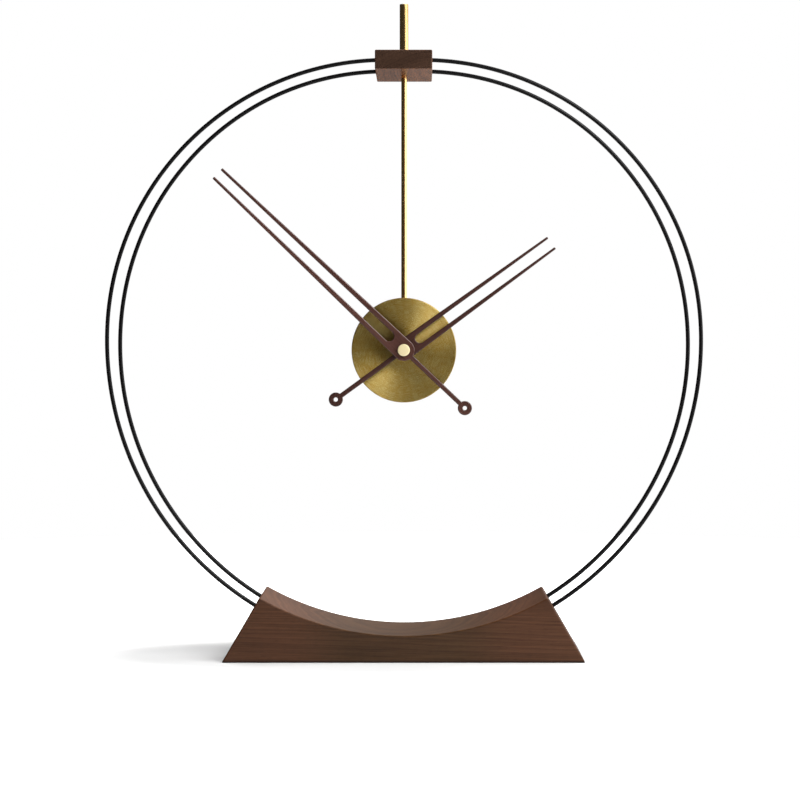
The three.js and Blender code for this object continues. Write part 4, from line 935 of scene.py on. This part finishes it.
def hoop_lines(scene):
    """The middle lines of the right outer and inner hoop, each as (x, z) points from the block to
    the foot, and where and in which direction they enter the foot. The outer hoop has one bend at
    the top and the side, and then a flatter one that leads on to the foot."""
    straight_steps, bend_steps, flat_steps = 4, 150, 80
    hoops, foot, block = scene.clock_hoops, scene.clock_foot, scene.clock_block
    top = block.top - hoops.drop
    low = top - hoops.radius
    bend_end = pi / 2 - hoops.turn
    outward = Vector((cos(bend_end), sin(bend_end)))
    change = Vector((hoops.level, low)) + hoops.radius * outward
    entry = Vector((end_face_at(foot, hoops.entry), hoops.entry))
    chord = entry - change
    flat_radius = -chord.length_squared / (2 * outward.dot(chord))
    centre = change - flat_radius * outward
    flat_end = atan2(entry.y - centre.y, entry.x - centre.x)
    inward = Vector((sin(flat_end), -cos(flat_end)))
    start = block.length / 2 - hoops.socket

    # Each row is a point, its direction, and its share of the way round both bends
    rows = [((x, top), (1, 0), 0) for x in spread(start, hoops.level, straight_steps)]
    bend, flat = hoops.radius * hoops.turn, flat_radius * (bend_end - flat_end)
    change_share = bend / (bend + flat)
    for share in spread(0, 1, bend_steps)[1:]:
        angle = pi / 2 - share * hoops.turn
        rows.append((
            (hoops.level + hoops.radius * cos(angle), low + hoops.radius * sin(angle)),
            (sin(angle), -cos(angle)), share * change_share,
        ))
    for share in spread(0, 1, flat_steps)[1:]:
        angle = bend_end + share * (flat_end - bend_end)
        rows.append((
            (centre.x + flat_radius * cos(angle), centre.y + flat_radius * sin(angle)),
            (sin(angle), -cos(angle)), change_share + share * (1 - change_share),
        ))
    rows += [
        (tuple(entry + inward * depth), tuple(inward), 1)
        for depth in spread(0, hoops.socket, straight_steps)[1:]
    ]
    gaps = [
        hoops.gap_top, hoops.gap_shoulder, hoops.gap_upper_side, hoops.gap_side,
        hoops.gap_lower_side, hoops.gap_haunch, hoops.gap_foot,
    ]
    outer = [Vector(point) for point, _, _ in rows]
    inner = [
        Vector(point) + Vector((way[1], -way[0])) * blended(gaps, share)
        for point, way, share in rows
    ]
    inner_entry = entry + Vector((inward.y, -inward.x)) * hoops.gap_foot
    return outer, inner, (entry, inner_entry), inward


def round_rod(name, line, diameter, sides, side):
    """A round rod along a line in the front plane. Side is 1 for the right and -1 for the left."""
    points, faces = [], []
    for i, point in enumerate(line):
        before, after = line[max(i - 1, 0)], line[min(i + 1, len(line) - 1)]
        way = (after - before).normalized()
        out = Vector((-way.y, way.x))
        for angle in spread(0, tau, sides)[:-1]:
            reach = diameter / 2 * cos(angle)
            points.append((
                side * (point.x + out.x * reach), diameter / 2 * sin(angle),
                point.y + out.y * reach,
            ))
    for i in range(len(line) - 1):
        for j in range(sides):
            k = (j + 1) % sides
            faces.append((i * sides + j, i * sides + k, (i + 1) * sides + k, (i + 1) * sides + j))
    last = (len(line) - 1) * sides
    faces += [tuple(range(sides)), tuple(range(last, last + sides))]
    return mesh_of(name, points, faces)


def socket_drills(scene, places, direction):
    """Cutters for holes on both sides of the middle. Places are (x, z) points."""
    hoops = scene.clock_hoops
    depth = hoops.socket + hoops.slack
    radius = hoops.rod / 2 + hoops.slack
    drills = []
    for place in places:
        for side in (1, -1):
            line = [place - direction * depth, place + direction * depth]
            drills.append(round_rod("drill", line, 2 * radius, DRILL_SIDES, side))
    return joined("drills", drills)


def threaded(radius, depth, low, high, pitch):
    """A profile line with thread-like grooves, from low to high"""
    number = max(int((high - low) / pitch), 1)
    step = (high - low) / number
    line = [(radius - depth, low)]
    for i in range(number):
        start = low + i * step
        line += [
            (radius, start + CREST_START * step), (radius, start + CREST_END * step),
            (radius - depth, start + GROOVE_START * step),
        ]
    return line + [(radius - depth, high)]


def hex_nut(node, width, bore, along, axis="Y", centre=PIVOT):
    """A six-sided nut with chamfered corners and a bore, in place of its CAD node. Along is where
    it starts and ends on the axis."""
    low, high = along
    corner = width / sqrt(3)
    chamfer = corner - width / 2
    slant = 0.8 * chamfer
    profile = [
        (bore / 2, low), (width / 2 - chamfer / 2, low), (corner, low + slant),
        (corner, high - slant), (width / 2 - chamfer / 2, high), (bore / 2, high),
    ]
    name = f"{node}_fine"
    nut = shown(name, turned(name, profile, NUT_SIDES, axis, centre))
    six = [(corner, low - MM), (corner, high + MM), (0, high + MM), (0, low - MM)]
    hexagon = turned("hexagon", six, 6, axis, centre)
    carved(nut, hexagon, "INTERSECT")
    shaded(nut, radians(20))
    fitted(nut, "frame", "brass", "Drawn brass", node)


def lathed(name, node, profile, sides, look, body="frame", kind="brass", axis="Y", centre=PIVOT,
           sharp=radians(32)):
    """A turned piece in place of its CAD node"""
    piece = shown(name, turned(name, profile, sides, axis, centre))
    shaded(piece, sharp)
    fitted(piece, body, kind, look, node)
    return piece


def hand_outline(hand, hands):
    """A forked hand that points along +X: hub, two prongs with a round-ended slot between them,
    and a thin tail that ends in a ring"""
    hub_steps, ring_steps = 40, 72
    hub, slot, tail, ring = hand.hub / 2, hand.slot / 2, hand.tail / 2, hands.ring / 2
    slot_x = hand.slot_start + slot
    inner_edge = hand.tip_width / 2 - hand.prong_tip

    def touch(point, centre_x, radius):
        """Angle at which a line from the point touches the circle on its upper side"""
        away = (point[0] - centre_x, point[1])
        return atan2(away[1], away[0]) + acos(radius / hypot(*away))

    outer = touch((hand.length, hand.tip_width / 2), 0, hub)
    inner = touch((hand.length, inner_edge), slot_x, slot)
    tail_at_hub, tail_at_ring = asin(tail / hub), asin(tail / ring)
    return [
        (hand.length, hand.tip_width / 2),
        *arc((0, 0), hub, outer, pi - tail_at_hub, hub_steps),
        *arc((-hands.ring_place, 0), ring, tail_at_ring, tau - tail_at_ring, ring_steps),
        *arc((0, 0), hub, pi + tail_at_hub, tau - outer, hub_steps),
        (hand.length, -hand.tip_width / 2),
        (hand.length, -inner_edge),
        *arc((slot_x, 0), slot, tau - inner, inner, hub_steps),
        (hand.length, inner_edge),
    ]


def forked_hand(name, hand, hands, body):
    """One wooden hand in place of its CAD node"""
    low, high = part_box(name)
    # The corners are a little rounder than the edges, so that the edges still fit round them
    outline = softened(hand_outline(hand, hands), 1.25 * hands.edge)
    holes = [
        circle((-hands.ring_place, 0), hands.ring_hole / 2, RING_HOLE_SIDES),
        circle((0, 0), hand.bore / 2, BUSH_SIDES),
    ]
    wood = shown(f"{name}_fine", slab(f"{name}_fine", outline, holes, low.y, high.y, hands.edge))
    wood.location = PIVOT
    wood.rotation_euler = (0, hand.angle - pi / 2, 0)
    words = name.replace("_", " ").capitalize()
    fitted(wood, body, "hand_walnut", f"{words} walnut", name)


def hand_bush(name, hand, hands, body):
    """The turned bush that holds a hand on its shaft"""
    low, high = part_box(name)
    bore = hand.bush_bore / 2
    outside = bore + hands.bush_wall
    flange = outside + hands.bush_wall
    hand_name = name.removesuffix("_bush")
    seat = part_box(hand_name)[1].y + hands.bush_seat
    edge = 0.15 * MM
    profile = [
        (bore, low.y + edge), (bore + edge, low.y), (outside - edge, low.y),
        (outside, low.y + edge), (outside, seat), (flange - edge, seat), (flange, seat + edge),
        (flange, high.y - edge), (flange - edge, high.y), (bore + edge, high.y),
        (bore, high.y - edge),
    ]
    lathed(f"{name}_fine", name, profile, BUSH_SIDES, "Drawn brass", body)


# Operators

class CLOCK_OT_foot(Operator):
    """Adds the walnut foot with its hollow top and the four holes that the hoops stand in"""
    bl_idname = "clock.foot"
    bl_label = "Foot"

    def execute(self, context):
        foot = context.scene.clock_foot
        half, top_half = foot.length / 2, foot.top_length / 2
        rise = foot.height - foot.waist
        radius = (top_half**2 + rise**2) / (2 * rise)
        reach = asin(top_half / radius)
        hollow = arc(
            (0, foot.waist + radius), radius, reach - pi / 2, -reach - pi / 2, foot.hollow_steps,
        )
        outline = [(-half, 0), (half, 0), *hollow]
        wood = shown("foot", prism("foot", outline, -foot.depth / 2, foot.depth / 2))
        rounded(wood, foot.edge)
        _, _, entries, inward = hoop_lines(context.scene)
        carved(wood, socket_drills(context.scene, entries, inward))
        shaded(wood)
        fitted(wood, "frame", "walnut", "Foot walnut", "base_block")
        return {"FINISHED"}


class CLOCK_OT_block(Operator):
    """Adds the walnut block with its hole for the rod and the four holes for the hoops"""
    bl_idname = "clock.block"
    bl_label = "Block"

    def execute(self, context):
        scene = context.scene
        block, rods, hoops = scene.clock_block, scene.clock_rods, scene.clock_hoops
        half = block.length / 2
        outline = [
            (-half, block.top - block.height), (half, block.top - block.height),
            (half, block.top), (-half, block.top),
        ]
        wood = shown("block", prism("block", outline, -block.depth / 2, block.depth / 2))
        rounded(wood, block.edge)
        heights = (block.top - hoops.drop, block.top - hoops.drop - hoops.gap_top)
        places = [Vector((half, height)) for height in heights]
        drills = socket_drills(scene, places, Vector((1, 0)))
        bore = rods.hanger / 2 + rods.clearance
        rod_drill = turned("drill", [
            (bore, block.top - 2 * block.height), (bore, block.top + block.height),
            (0, block.top + block.height), (0, block.top - 2 * block.height),
        ], rods.sides, "Z")
        carved(wood, joined("drills", [drills, rod_drill]))
        shaded(wood)
        fitted(wood, "frame", "walnut", "Block walnut", "top_block")
        return {"FINISHED"}


class CLOCK_OT_hoops(Operator):
    """Adds the four bent rods of the two hoops"""
    bl_idname = "clock.hoops"
    bl_label = "Hoops"

    def execute(self, context):
        hoops = context.scene.clock_hoops
        outer, inner, _, _ = hoop_lines(context.scene)
        for word, line in (("outer", outer), ("inner", inner)):
            for side, place in ((1, "right"), (-1, "left")):
                node = f"{word}_hoop_{place}"
                rod = shown(f"{node}_fine", round_rod(node, line, hoops.rod, hoops.sides, side))
                smoothed(rod.data)
                rod.data.set_sharp_from_angle(angle=radians(50))
                fitted(rod, "frame", "black_steel", "Black lacquer", node)
        return {"FINISHED"}


class CLOCK_OT_rods(Operator):
    """Adds the rod that holds the case, the rod end above the block, and the rod's nut"""
    bl_idname = "clock.rods"
    bl_label = "Rods"

    def execute(self, context):
        rods, block = context.scene.clock_rods, context.scene.clock_block
        edge = rods.edge
        low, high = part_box("hanger_rod")
        radius, screw = rods.hanger / 2, rods.screw / 2
        shoulder = CASE_HIGH.z + 0.2 * MM
        thread_start, thread_end = low.z + 0.2 * MM, shoulder - 0.4 * MM
        groove = THREAD_DEPTH * rods.pitch
        profile = [
            (0, low.z), (screw - groove, low.z),
            *threaded(screw, groove, thread_start, thread_end, rods.pitch),
            (screw - groove, shoulder), (radius - edge / 2, shoulder),
            (radius, shoulder + edge / 2), (radius, high.z - edge),
            (radius - edge, high.z), (0, high.z),
        ]
        lathed(
            "hanger", "hanger_rod", profile, rods.sides, "Drawn brass", kind="rod_brass", axis="Z",
        )

        low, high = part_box("finial_rod")
        radius, bore = rods.finial / 2, rods.hanger / 2 + rods.clearance
        bore_end = block.top + rods.finial_bore
        profile = [
            (0, bore_end), (bore, bore_end), (bore, low.z), (radius - edge / 2, low.z),
            (radius, low.z + edge / 2),
            *[(radius - edge + edge * sin(angle), high.z - edge + edge * cos(angle))
              for angle in spread(pi / 2, 0, 4)],
            (0, high.z),
        ]
        lathed(
            "finial", "finial_rod", profile, rods.sides, "Drawn brass", kind="rod_brass", axis="Z",
        )

        low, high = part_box("rod_nut")
        bore = rods.screw + 2 * rods.clearance
        hex_nut("rod_nut", rods.nut_width, bore, (low.z, high.z), "Z", Vector())
        return {"FINISHED"}


class CLOCK_OT_case(Operator):
    """Adds the turned brass case"""
    bl_idname = "clock.case"
    bl_label = "Case"

    def execute(self, context):
        case = context.scene.clock_case
        radius, wall = (CASE_HIGH.x - CASE_LOW.x) / 2, case.wall
        rim, lip = case.rim, case.back_edge
        front, back = CASE_LOW.y, CASE_HIGH.y
        bore = case.bore / 2
        inside = radius - wall
        edge, rim_steps, lip_steps = 0.2 * MM, 6, 3
        profile = [
            (bore, front + edge), (bore + edge, front),
            *arc((radius - rim, front + rim), rim, -pi / 2, 0, rim_steps),
            *arc((radius - lip, back - lip), lip, 0, pi / 2, lip_steps),
            *arc((inside + lip, back - lip), lip, pi / 2, pi, lip_steps),
            (inside, front + wall + edge), (inside - edge, front + wall),
            (bore + edge, front + wall), (bore, front + wall - edge),
        ]
        shell = shown("case", turned("case", profile, case.sides))
        hole = case.rod_bore / 2
        carved(shell, turned("drill", [
            (0, CASE_HIGH.z - 3 * wall), (hole, CASE_HIGH.z - 3 * wall),
            (hole, CASE_HIGH.z + wall), (0, CASE_HIGH.z + wall),
        ], DRILL_SIDES, "Z"))
        shaded(shell)
        fitted(shell, "frame", "brass", "Turned brass", "case_shell")
        return {"FINISHED"}


class CLOCK_OT_fittings(Operator):
    """Adds the threaded bush, its washer and nut, and the pale cap"""
    bl_idname = "clock.fittings"
    bl_label = "Fittings"

    def execute(self, context):
        fittings = context.scene.clock_fittings
        sides = fittings.sides
        low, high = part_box("threaded_bush")
        radius, bore = fittings.bush / 2, fittings.bush_bore / 2
        flange = (high.x - low.x) / 2
        flange_front = high.y - fittings.bush_flange
        groove = THREAD_DEPTH * fittings.pitch
        profile = [
            (bore, low.y), (radius - groove, low.y),
            *threaded(radius, groove, low.y + 0.1 * MM, flange_front, fittings.pitch),
            (flange, flange_front), (flange, high.y), (bore, high.y),
        ]
        lathed("bush", "threaded_bush", profile, sides, "Drawn brass", sharp=radians(25))

        low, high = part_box("face_washer")
        edge = 0.12 * MM
        radius, bore = (high.x - low.x) / 2, fittings.washer_bore / 2
        profile = [
            (bore, low.y + edge), (bore + edge, low.y), (radius - edge, low.y),
            (radius, low.y + edge), (radius, high.y - edge), (radius - edge, high.y),
            (bore + edge, high.y), (bore, high.y - edge),
        ]
        lathed("washer", "face_washer", profile, sides, "Turned brass", sharp=radians(50))

        low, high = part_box("face_nut")
        hex_nut("face_nut", fittings.nut_width, fittings.washer_bore, (low.y, high.y))

        low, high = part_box("cap_nut")
        radius, edge, bore = (high.x - low.x) / 2, fittings.cap_edge, fittings.cap_bore / 2
        bore_end = high.y - fittings.cap_bore_depth
        dome, back_edge, steps = 0.12 * MM, 0.2 * MM, 6
        profile = [
            (0, low.y), *[(share * (radius - edge), low.y + dome * share**2)
                          for share in spread(0, 1, steps)[1:-1]],
            *arc((radius - edge, low.y + dome + edge), edge, -pi / 2, 0, steps),
            (radius, high.y - back_edge), (radius - back_edge, high.y), (bore, high.y),
            (bore, bore_end), (0, bore_end),
        ]
        lathed("cap", "cap_nut", profile, sides, "Polished cap", "minute_hand_set", "pale_brass")
        return {"FINISHED"}


class CLOCK_OT_hands(Operator):
    """Adds the two forked wooden hands and their bushes"""
    bl_idname = "clock.hands"
    bl_label = "Hands"

    def execute(self, context):
        scene = context.scene
        for name, hand, body in (
            ("minute_hand", scene.clock_minute_hand, "minute_hand_set"),
            ("hour_hand", scene.clock_hour_hand, "hour_hand_set"),
        ):
            forked_hand(name, hand, scene.clock_hands, body)
            hand_bush(f"{name}_bush", hand, scene.clock_hands, body)
        return {"FINISHED"}


class CLOCK_OT_movement(Operator):
    """Finishes the movement's housing, cover, setting knob and rubber washer, and adds the arrows
    moulded beside the knob"""
    bl_idname = "clock.movement"
    bl_label = "Movement"

    def execute(self, context):
        movement = context.scene.clock_movement
        refinish("Black plastic", "movement_housing", "movement_cover", "setting_knob")
        for node in ("movement_cover", "setting_knob"):
            rounded(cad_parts[node], movement.moulded_edge, steps=2, least=radians(40))
        refinish("Rubber", "rubber_washer")
        low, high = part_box("setting_knob")
        knob = Vector(((low.x + high.x) / 2, (low.z + high.z) / 2))
        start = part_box("movement_cover")[1].y
        end = start + movement.mark_depth
        corner, edge = 0.1 * MM, 0.08 * MM
        plates = []
        for side in (1, -1):
            outline = softened(turning_arrow(movement, knob, side), corner)
            plates.append(slab("mark", outline, [], start, end, edge, steps=2))
        arrows = shown("turning_arrows", joined("turning_arrows", plates))
        fitted(arrows, "frame", "black_plastic", "Black plastic")
        return {"FINISHED"}


def turning_arrow(movement, knob, side):
    """A bent arrow beside the setting knob, as an outline. Side is 1 for the right."""
    radius, half = movement.arrow_radius, movement.arrow_width / 2
    middle, steps = (0 if side > 0 else pi), 14
    start, end = middle - radians(38), middle + radians(30)
    tip, head = end + radians(14), 1.9 * half
    return [
        *arc(knob, radius - half, start, end, steps)[::-1],
        *arc(knob, radius + half, start, end, steps),
        at_angle(knob, radius + half + head, end),
        at_angle(knob, radius, tip),
        at_angle(knob, radius - half - head, end),
    ]


class CLOCK_OT_battery(Operator):
    """Adds the battery in its plain sleeve, and finishes its contacts"""
    bl_idname = "clock.battery"
    bl_label = "Battery"

    def execute(self, context):
        movement = context.scene.clock_movement
        low, high = CELL_LOW, CELL_HIGH
        radius = (high.y - low.y) / 2
        centre = Vector((0, (high.y + low.y) / 2, (high.z + low.z) / 2))
        lip, lip_steps, fold, step = movement.cell_lip, 5, 0.35 * MM, 0.3 * MM
        nub, nub_height = 2.7 * MM, 1.0 * MM
        plate, plate_foot = 0.55 * radius, 0.6 * radius
        shoulder = high.x - nub_height
        profile = [
            (0, low.x), (plate, low.x), (plate_foot, low.x + step),
            (radius - lip - fold, low.x + step), (radius - lip, low.x),
            *arc((radius - lip, low.x + lip), lip, -pi / 2, 0, lip_steps),
            *arc((radius - lip, shoulder - lip), lip, 0, pi / 2, lip_steps),
            (radius - lip - fold, shoulder - step), (nub + step, shoulder - step),
            (nub, shoulder), (nub, high.x - step), (nub - step, high.x), (0, high.x),
        ]
        cell = lathed(
            "cell", "battery", profile, movement.cell_sides, "Battery sleeve", kind="cell_sleeve",
            axis="X", centre=centre,
        )

        # The faces inside the sleeve's turned-in ends are bare metal
        cell.data.materials.append(finish("Stamped steel"))
        bare = radius - lip - 0.1 * MM
        for face in cell.data.polygons:
            if hypot(face.center.y - centre.y, face.center.z - centre.z) < bare:
                face.material_index = 1
        refinish("Stamped steel", "positive_contact", "negative_contact")
        return {"FINISHED"}


class CLOCK_OT_train(Operator):
    """Finishes the wheels, the motor and the circuit board inside the movement"""
    bl_idname = "clock.train"
    bl_label = "Wheels and motor"

    def execute(self, context):
        refinish(
            "Gear plastic", "hour_wheel", "minute_wheel", "third_wheel", "fourth_wheel",
            "fifth_wheel", "coil_bobbin",
        )
        refinish("Drawn brass", "minute_arbor", "centre_wheel")
        refinish("Sintered magnet", "rotor")
        refinish("Stamped steel", "stator", "coil_core", "quartz_crystal")
        refinish("Wound copper", "coil_winding")
        refinish("Circuit board", "circuit_board")
        refinish("Black plastic", "chip")
        return {"FINISHED"}


FLOOR_RADIUS, FLOOR_SIDES = 1.2, 96

# Half axes of the ellipse on the floor that keeps the clock's shadow, and the shares of them
# between which it fades into the white that the camera sees
SHADOW_ACROSS, SHADOW_DEEP = 0.25, 0.10
FADE_START, FADE_END = 0.85, 1.5

# Where metal starts to see the white, and where it's full: on the floor, backwards and to the
# right, and in the room, as parts of the direction
FLOOR_BEHIND, FLOOR_BESIDE = (-0.1, 0.3), (-0.2, 0.1)
ROOM_BEHIND, ROOM_BESIDE = (0.1, 0.5), (-0.15, 0.10)

# What metal sees of the room, how much brighter the background is, and the even light for the rest
ROOM_LIGHT, BACKGROUND_LIGHT, SKY_LIGHT = 0.04, 0.96, 0.19

# Each lamp's place, width and height in metres, and power in watts
LAMPS = {
    "Key light": ((1.20, -0.82, 1.47), 1.4, 1.4, 36.0),
    "Spark light": ((0.60, -1.08, 1.17), 0.45, 0.45, 6.5),
    "Side light": ((1.38, -0.30, 0.45), 2.0, 0.6, 11.0),
    "Top light": ((0.0, 0.40, 1.9), 0.8, 0.8, 12.0),
}

# The camera looks straight along +Y, and its shift frames the clock
CAMERA_PLACE = (0.01565, -1.835, 0.260)
CAMERA_LENS, CAMERA_SENSOR = 98.6, 36
CAMERA_SHIFT = (-0.0284, -0.0691)
CAMERA_RANGE = (0.05, 50)


class CLOCK_OT_stage(Operator):
    """Adds the floor, the soft studio light, the surroundings and the camera"""
    bl_idname = "clock.stage"
    bl_label = "Stage"

    def execute(self, context):
        scene = context.scene
        floor = shown("floor", bpy.data.meshes.new("floor"))
        sheet = circle((0, 0), FLOOR_RADIUS, FLOOR_SIDES)
        floor.data.from_pydata([(x, y, 0) for x, y in sheet], [], [range(len(sheet))])
        floor.data.materials.append(self.floor_finish(scene.clock_colours.floor))
        self.surroundings(scene)
        for name, (place, width, height, power) in LAMPS.items():
            self.lamp(name, place, width, height, power)

        camera = bpy.data.cameras.new("Camera")
        camera.sensor_width, camera.lens = CAMERA_SENSOR, CAMERA_LENS
        camera.shift_x, camera.shift_y = CAMERA_SHIFT
        camera.clip_start, camera.clip_end = CAMERA_RANGE
        eye = bpy.data.objects.new("Camera", camera)
        scene.collection.objects.link(eye)
        eye.location = CAMERA_PLACE
        eye.rotation_euler = (pi / 2, 0, 0)
        scene.camera = eye
        scene.view_settings.view_transform = "Standard"
        return {"FINISHED"}

    def lamp(self, name, place, width, height, power):
        """A soft light that points at the clock's middle"""
        light = bpy.data.lights.new(name, "AREA")
        light.shape = "RECTANGLE"
        light.size, light.size_y = width, height
        light.energy = power
        lamp = bpy.data.objects.new(name, light)
        lamp.visible_camera = False
        bpy.context.scene.collection.objects.link(lamp)
        lamp.location = place
        lamp.rotation_euler = (PIVOT - Vector(place)).to_track_quat("-Z", "Y").to_euler()

    def floor_finish(self, colour):
        """A pale floor that looks white except where the clock's shadow falls. Metal sees it white
        only behind the clock and to the right."""
        paint = Finish("Floor", Roughness=0.9, Specular_IOR_Level=0)
        paint.colour((*colour, 1))
        x, y, _ = paint.split(paint.place)
        behind, beside = paint.spanned(y, *FLOOR_BEHIND), paint.spanned(x, *FLOOR_BESIDE)
        away = paint.distance(
            paint.math("DIVIDE", x, SHADOW_ACROSS), paint.math("DIVIDE", y, SHADOW_DEEP),
        )
        glow = paint.spanned(away, FADE_START, FADE_END, smooth=True)
        rays, mirror = paint.rays()
        mirrored = paint.math("MULTIPLY", mirror, paint.math("MULTIPLY", behind, beside))
        seen = paint.math("MAXIMUM", rays["Is Camera Ray"], mirrored)
        paint.feed(paint.shader.inputs["Emission Color"], (1, 1, 1, 1))
        paint.feed(paint.shader.inputs["Emission Strength"], paint.math("MULTIPLY", seen, glow))
        return paint.material

    def surroundings(self, scene):
        """A white background for what the camera sees. Metal sees it behind the clock and to the
        right, and a dim room elsewhere. An even weak light reaches everything else."""
        world = bpy.data.worlds.new("Studio")
        world.use_nodes = True
        scene.world = world
        studio = Nodes(world.node_tree)
        x, y, _ = studio.split(studio.node("ShaderNodeTexCoord").outputs["Generated"])
        behind = studio.spanned(y, *ROOM_BEHIND, smooth=True)
        beside = studio.spanned(x, *ROOM_BESIDE, smooth=True)
        bright = studio.math("MULTIPLY", behind, beside)
        room = studio.math("MULTIPLY_ADD", bright, BACKGROUND_LIGHT, ROOM_LIGHT)
        rays, mirror = studio.rays()
        unseen = studio.between(mirror, SKY_LIGHT, room)
        background = studio.tree.nodes["Background"].inputs
        studio.feed(background["Color"], (1, 1, 1, 1))
        studio.feed(background["Strength"], studio.between(rays["Is Camera Ray"], unseen, 1.0))


OPERATORS = (
    CLOCK_OT_foot, CLOCK_OT_block, CLOCK_OT_hoops, CLOCK_OT_rods, CLOCK_OT_case,
    CLOCK_OT_fittings, CLOCK_OT_hands, CLOCK_OT_movement, CLOCK_OT_battery, CLOCK_OT_train,
    CLOCK_OT_stage,
)


class CLOCK_PT_pieces(Panel):
    """Lists the clock's pieces and their sizes"""
    bl_label = "Standing clock"
    bl_idname = "CLOCK_PT_pieces"
    bl_space_type = "VIEW_3D"
    bl_region_type = "UI"
    bl_category = "Clock"

    def draw(self, context):
        layout = self.layout
        for operator in OPERATORS:
            layout.operator(operator.bl_idname)
        for name, group in GROUPS.items():
            box = layout.box()
            box.label(text=group.__doc__)
            for field in group.__annotations__:
                box.prop(getattr(context.scene, name), field)


def register():
    for group in GROUPS.values():
        bpy.utils.register_class(group)
    for name, group in GROUPS.items():
        setattr(bpy.types.Scene, name, PointerProperty(type=group))
    for operator in OPERATORS:
        bpy.utils.register_class(operator)
    bpy.utils.register_class(CLOCK_PT_pieces)


def unregister():
    bpy.utils.unregister_class(CLOCK_PT_pieces)
    for operator in reversed(OPERATORS):
        bpy.utils.unregister_class(operator)
    for name in GROUPS:
        delattr(bpy.types.Scene, name)
    for group in reversed(GROUPS.values()):
        bpy.utils.unregister_class(group)


def build_clock():
    """Builds the whole clock and its stage"""
    register()
    bpy.ops.clock.foot()
    bpy.ops.clock.block()
    bpy.ops.clock.hoops()
    bpy.ops.clock.rods()
    bpy.ops.clock.case()
    bpy.ops.clock.fittings()
    bpy.ops.clock.hands()
    bpy.ops.clock.movement()
    bpy.ops.clock.battery()
    bpy.ops.clock.train()
    bpy.ops.clock.stage()


if __name__ == "__main__":
    build_clock()
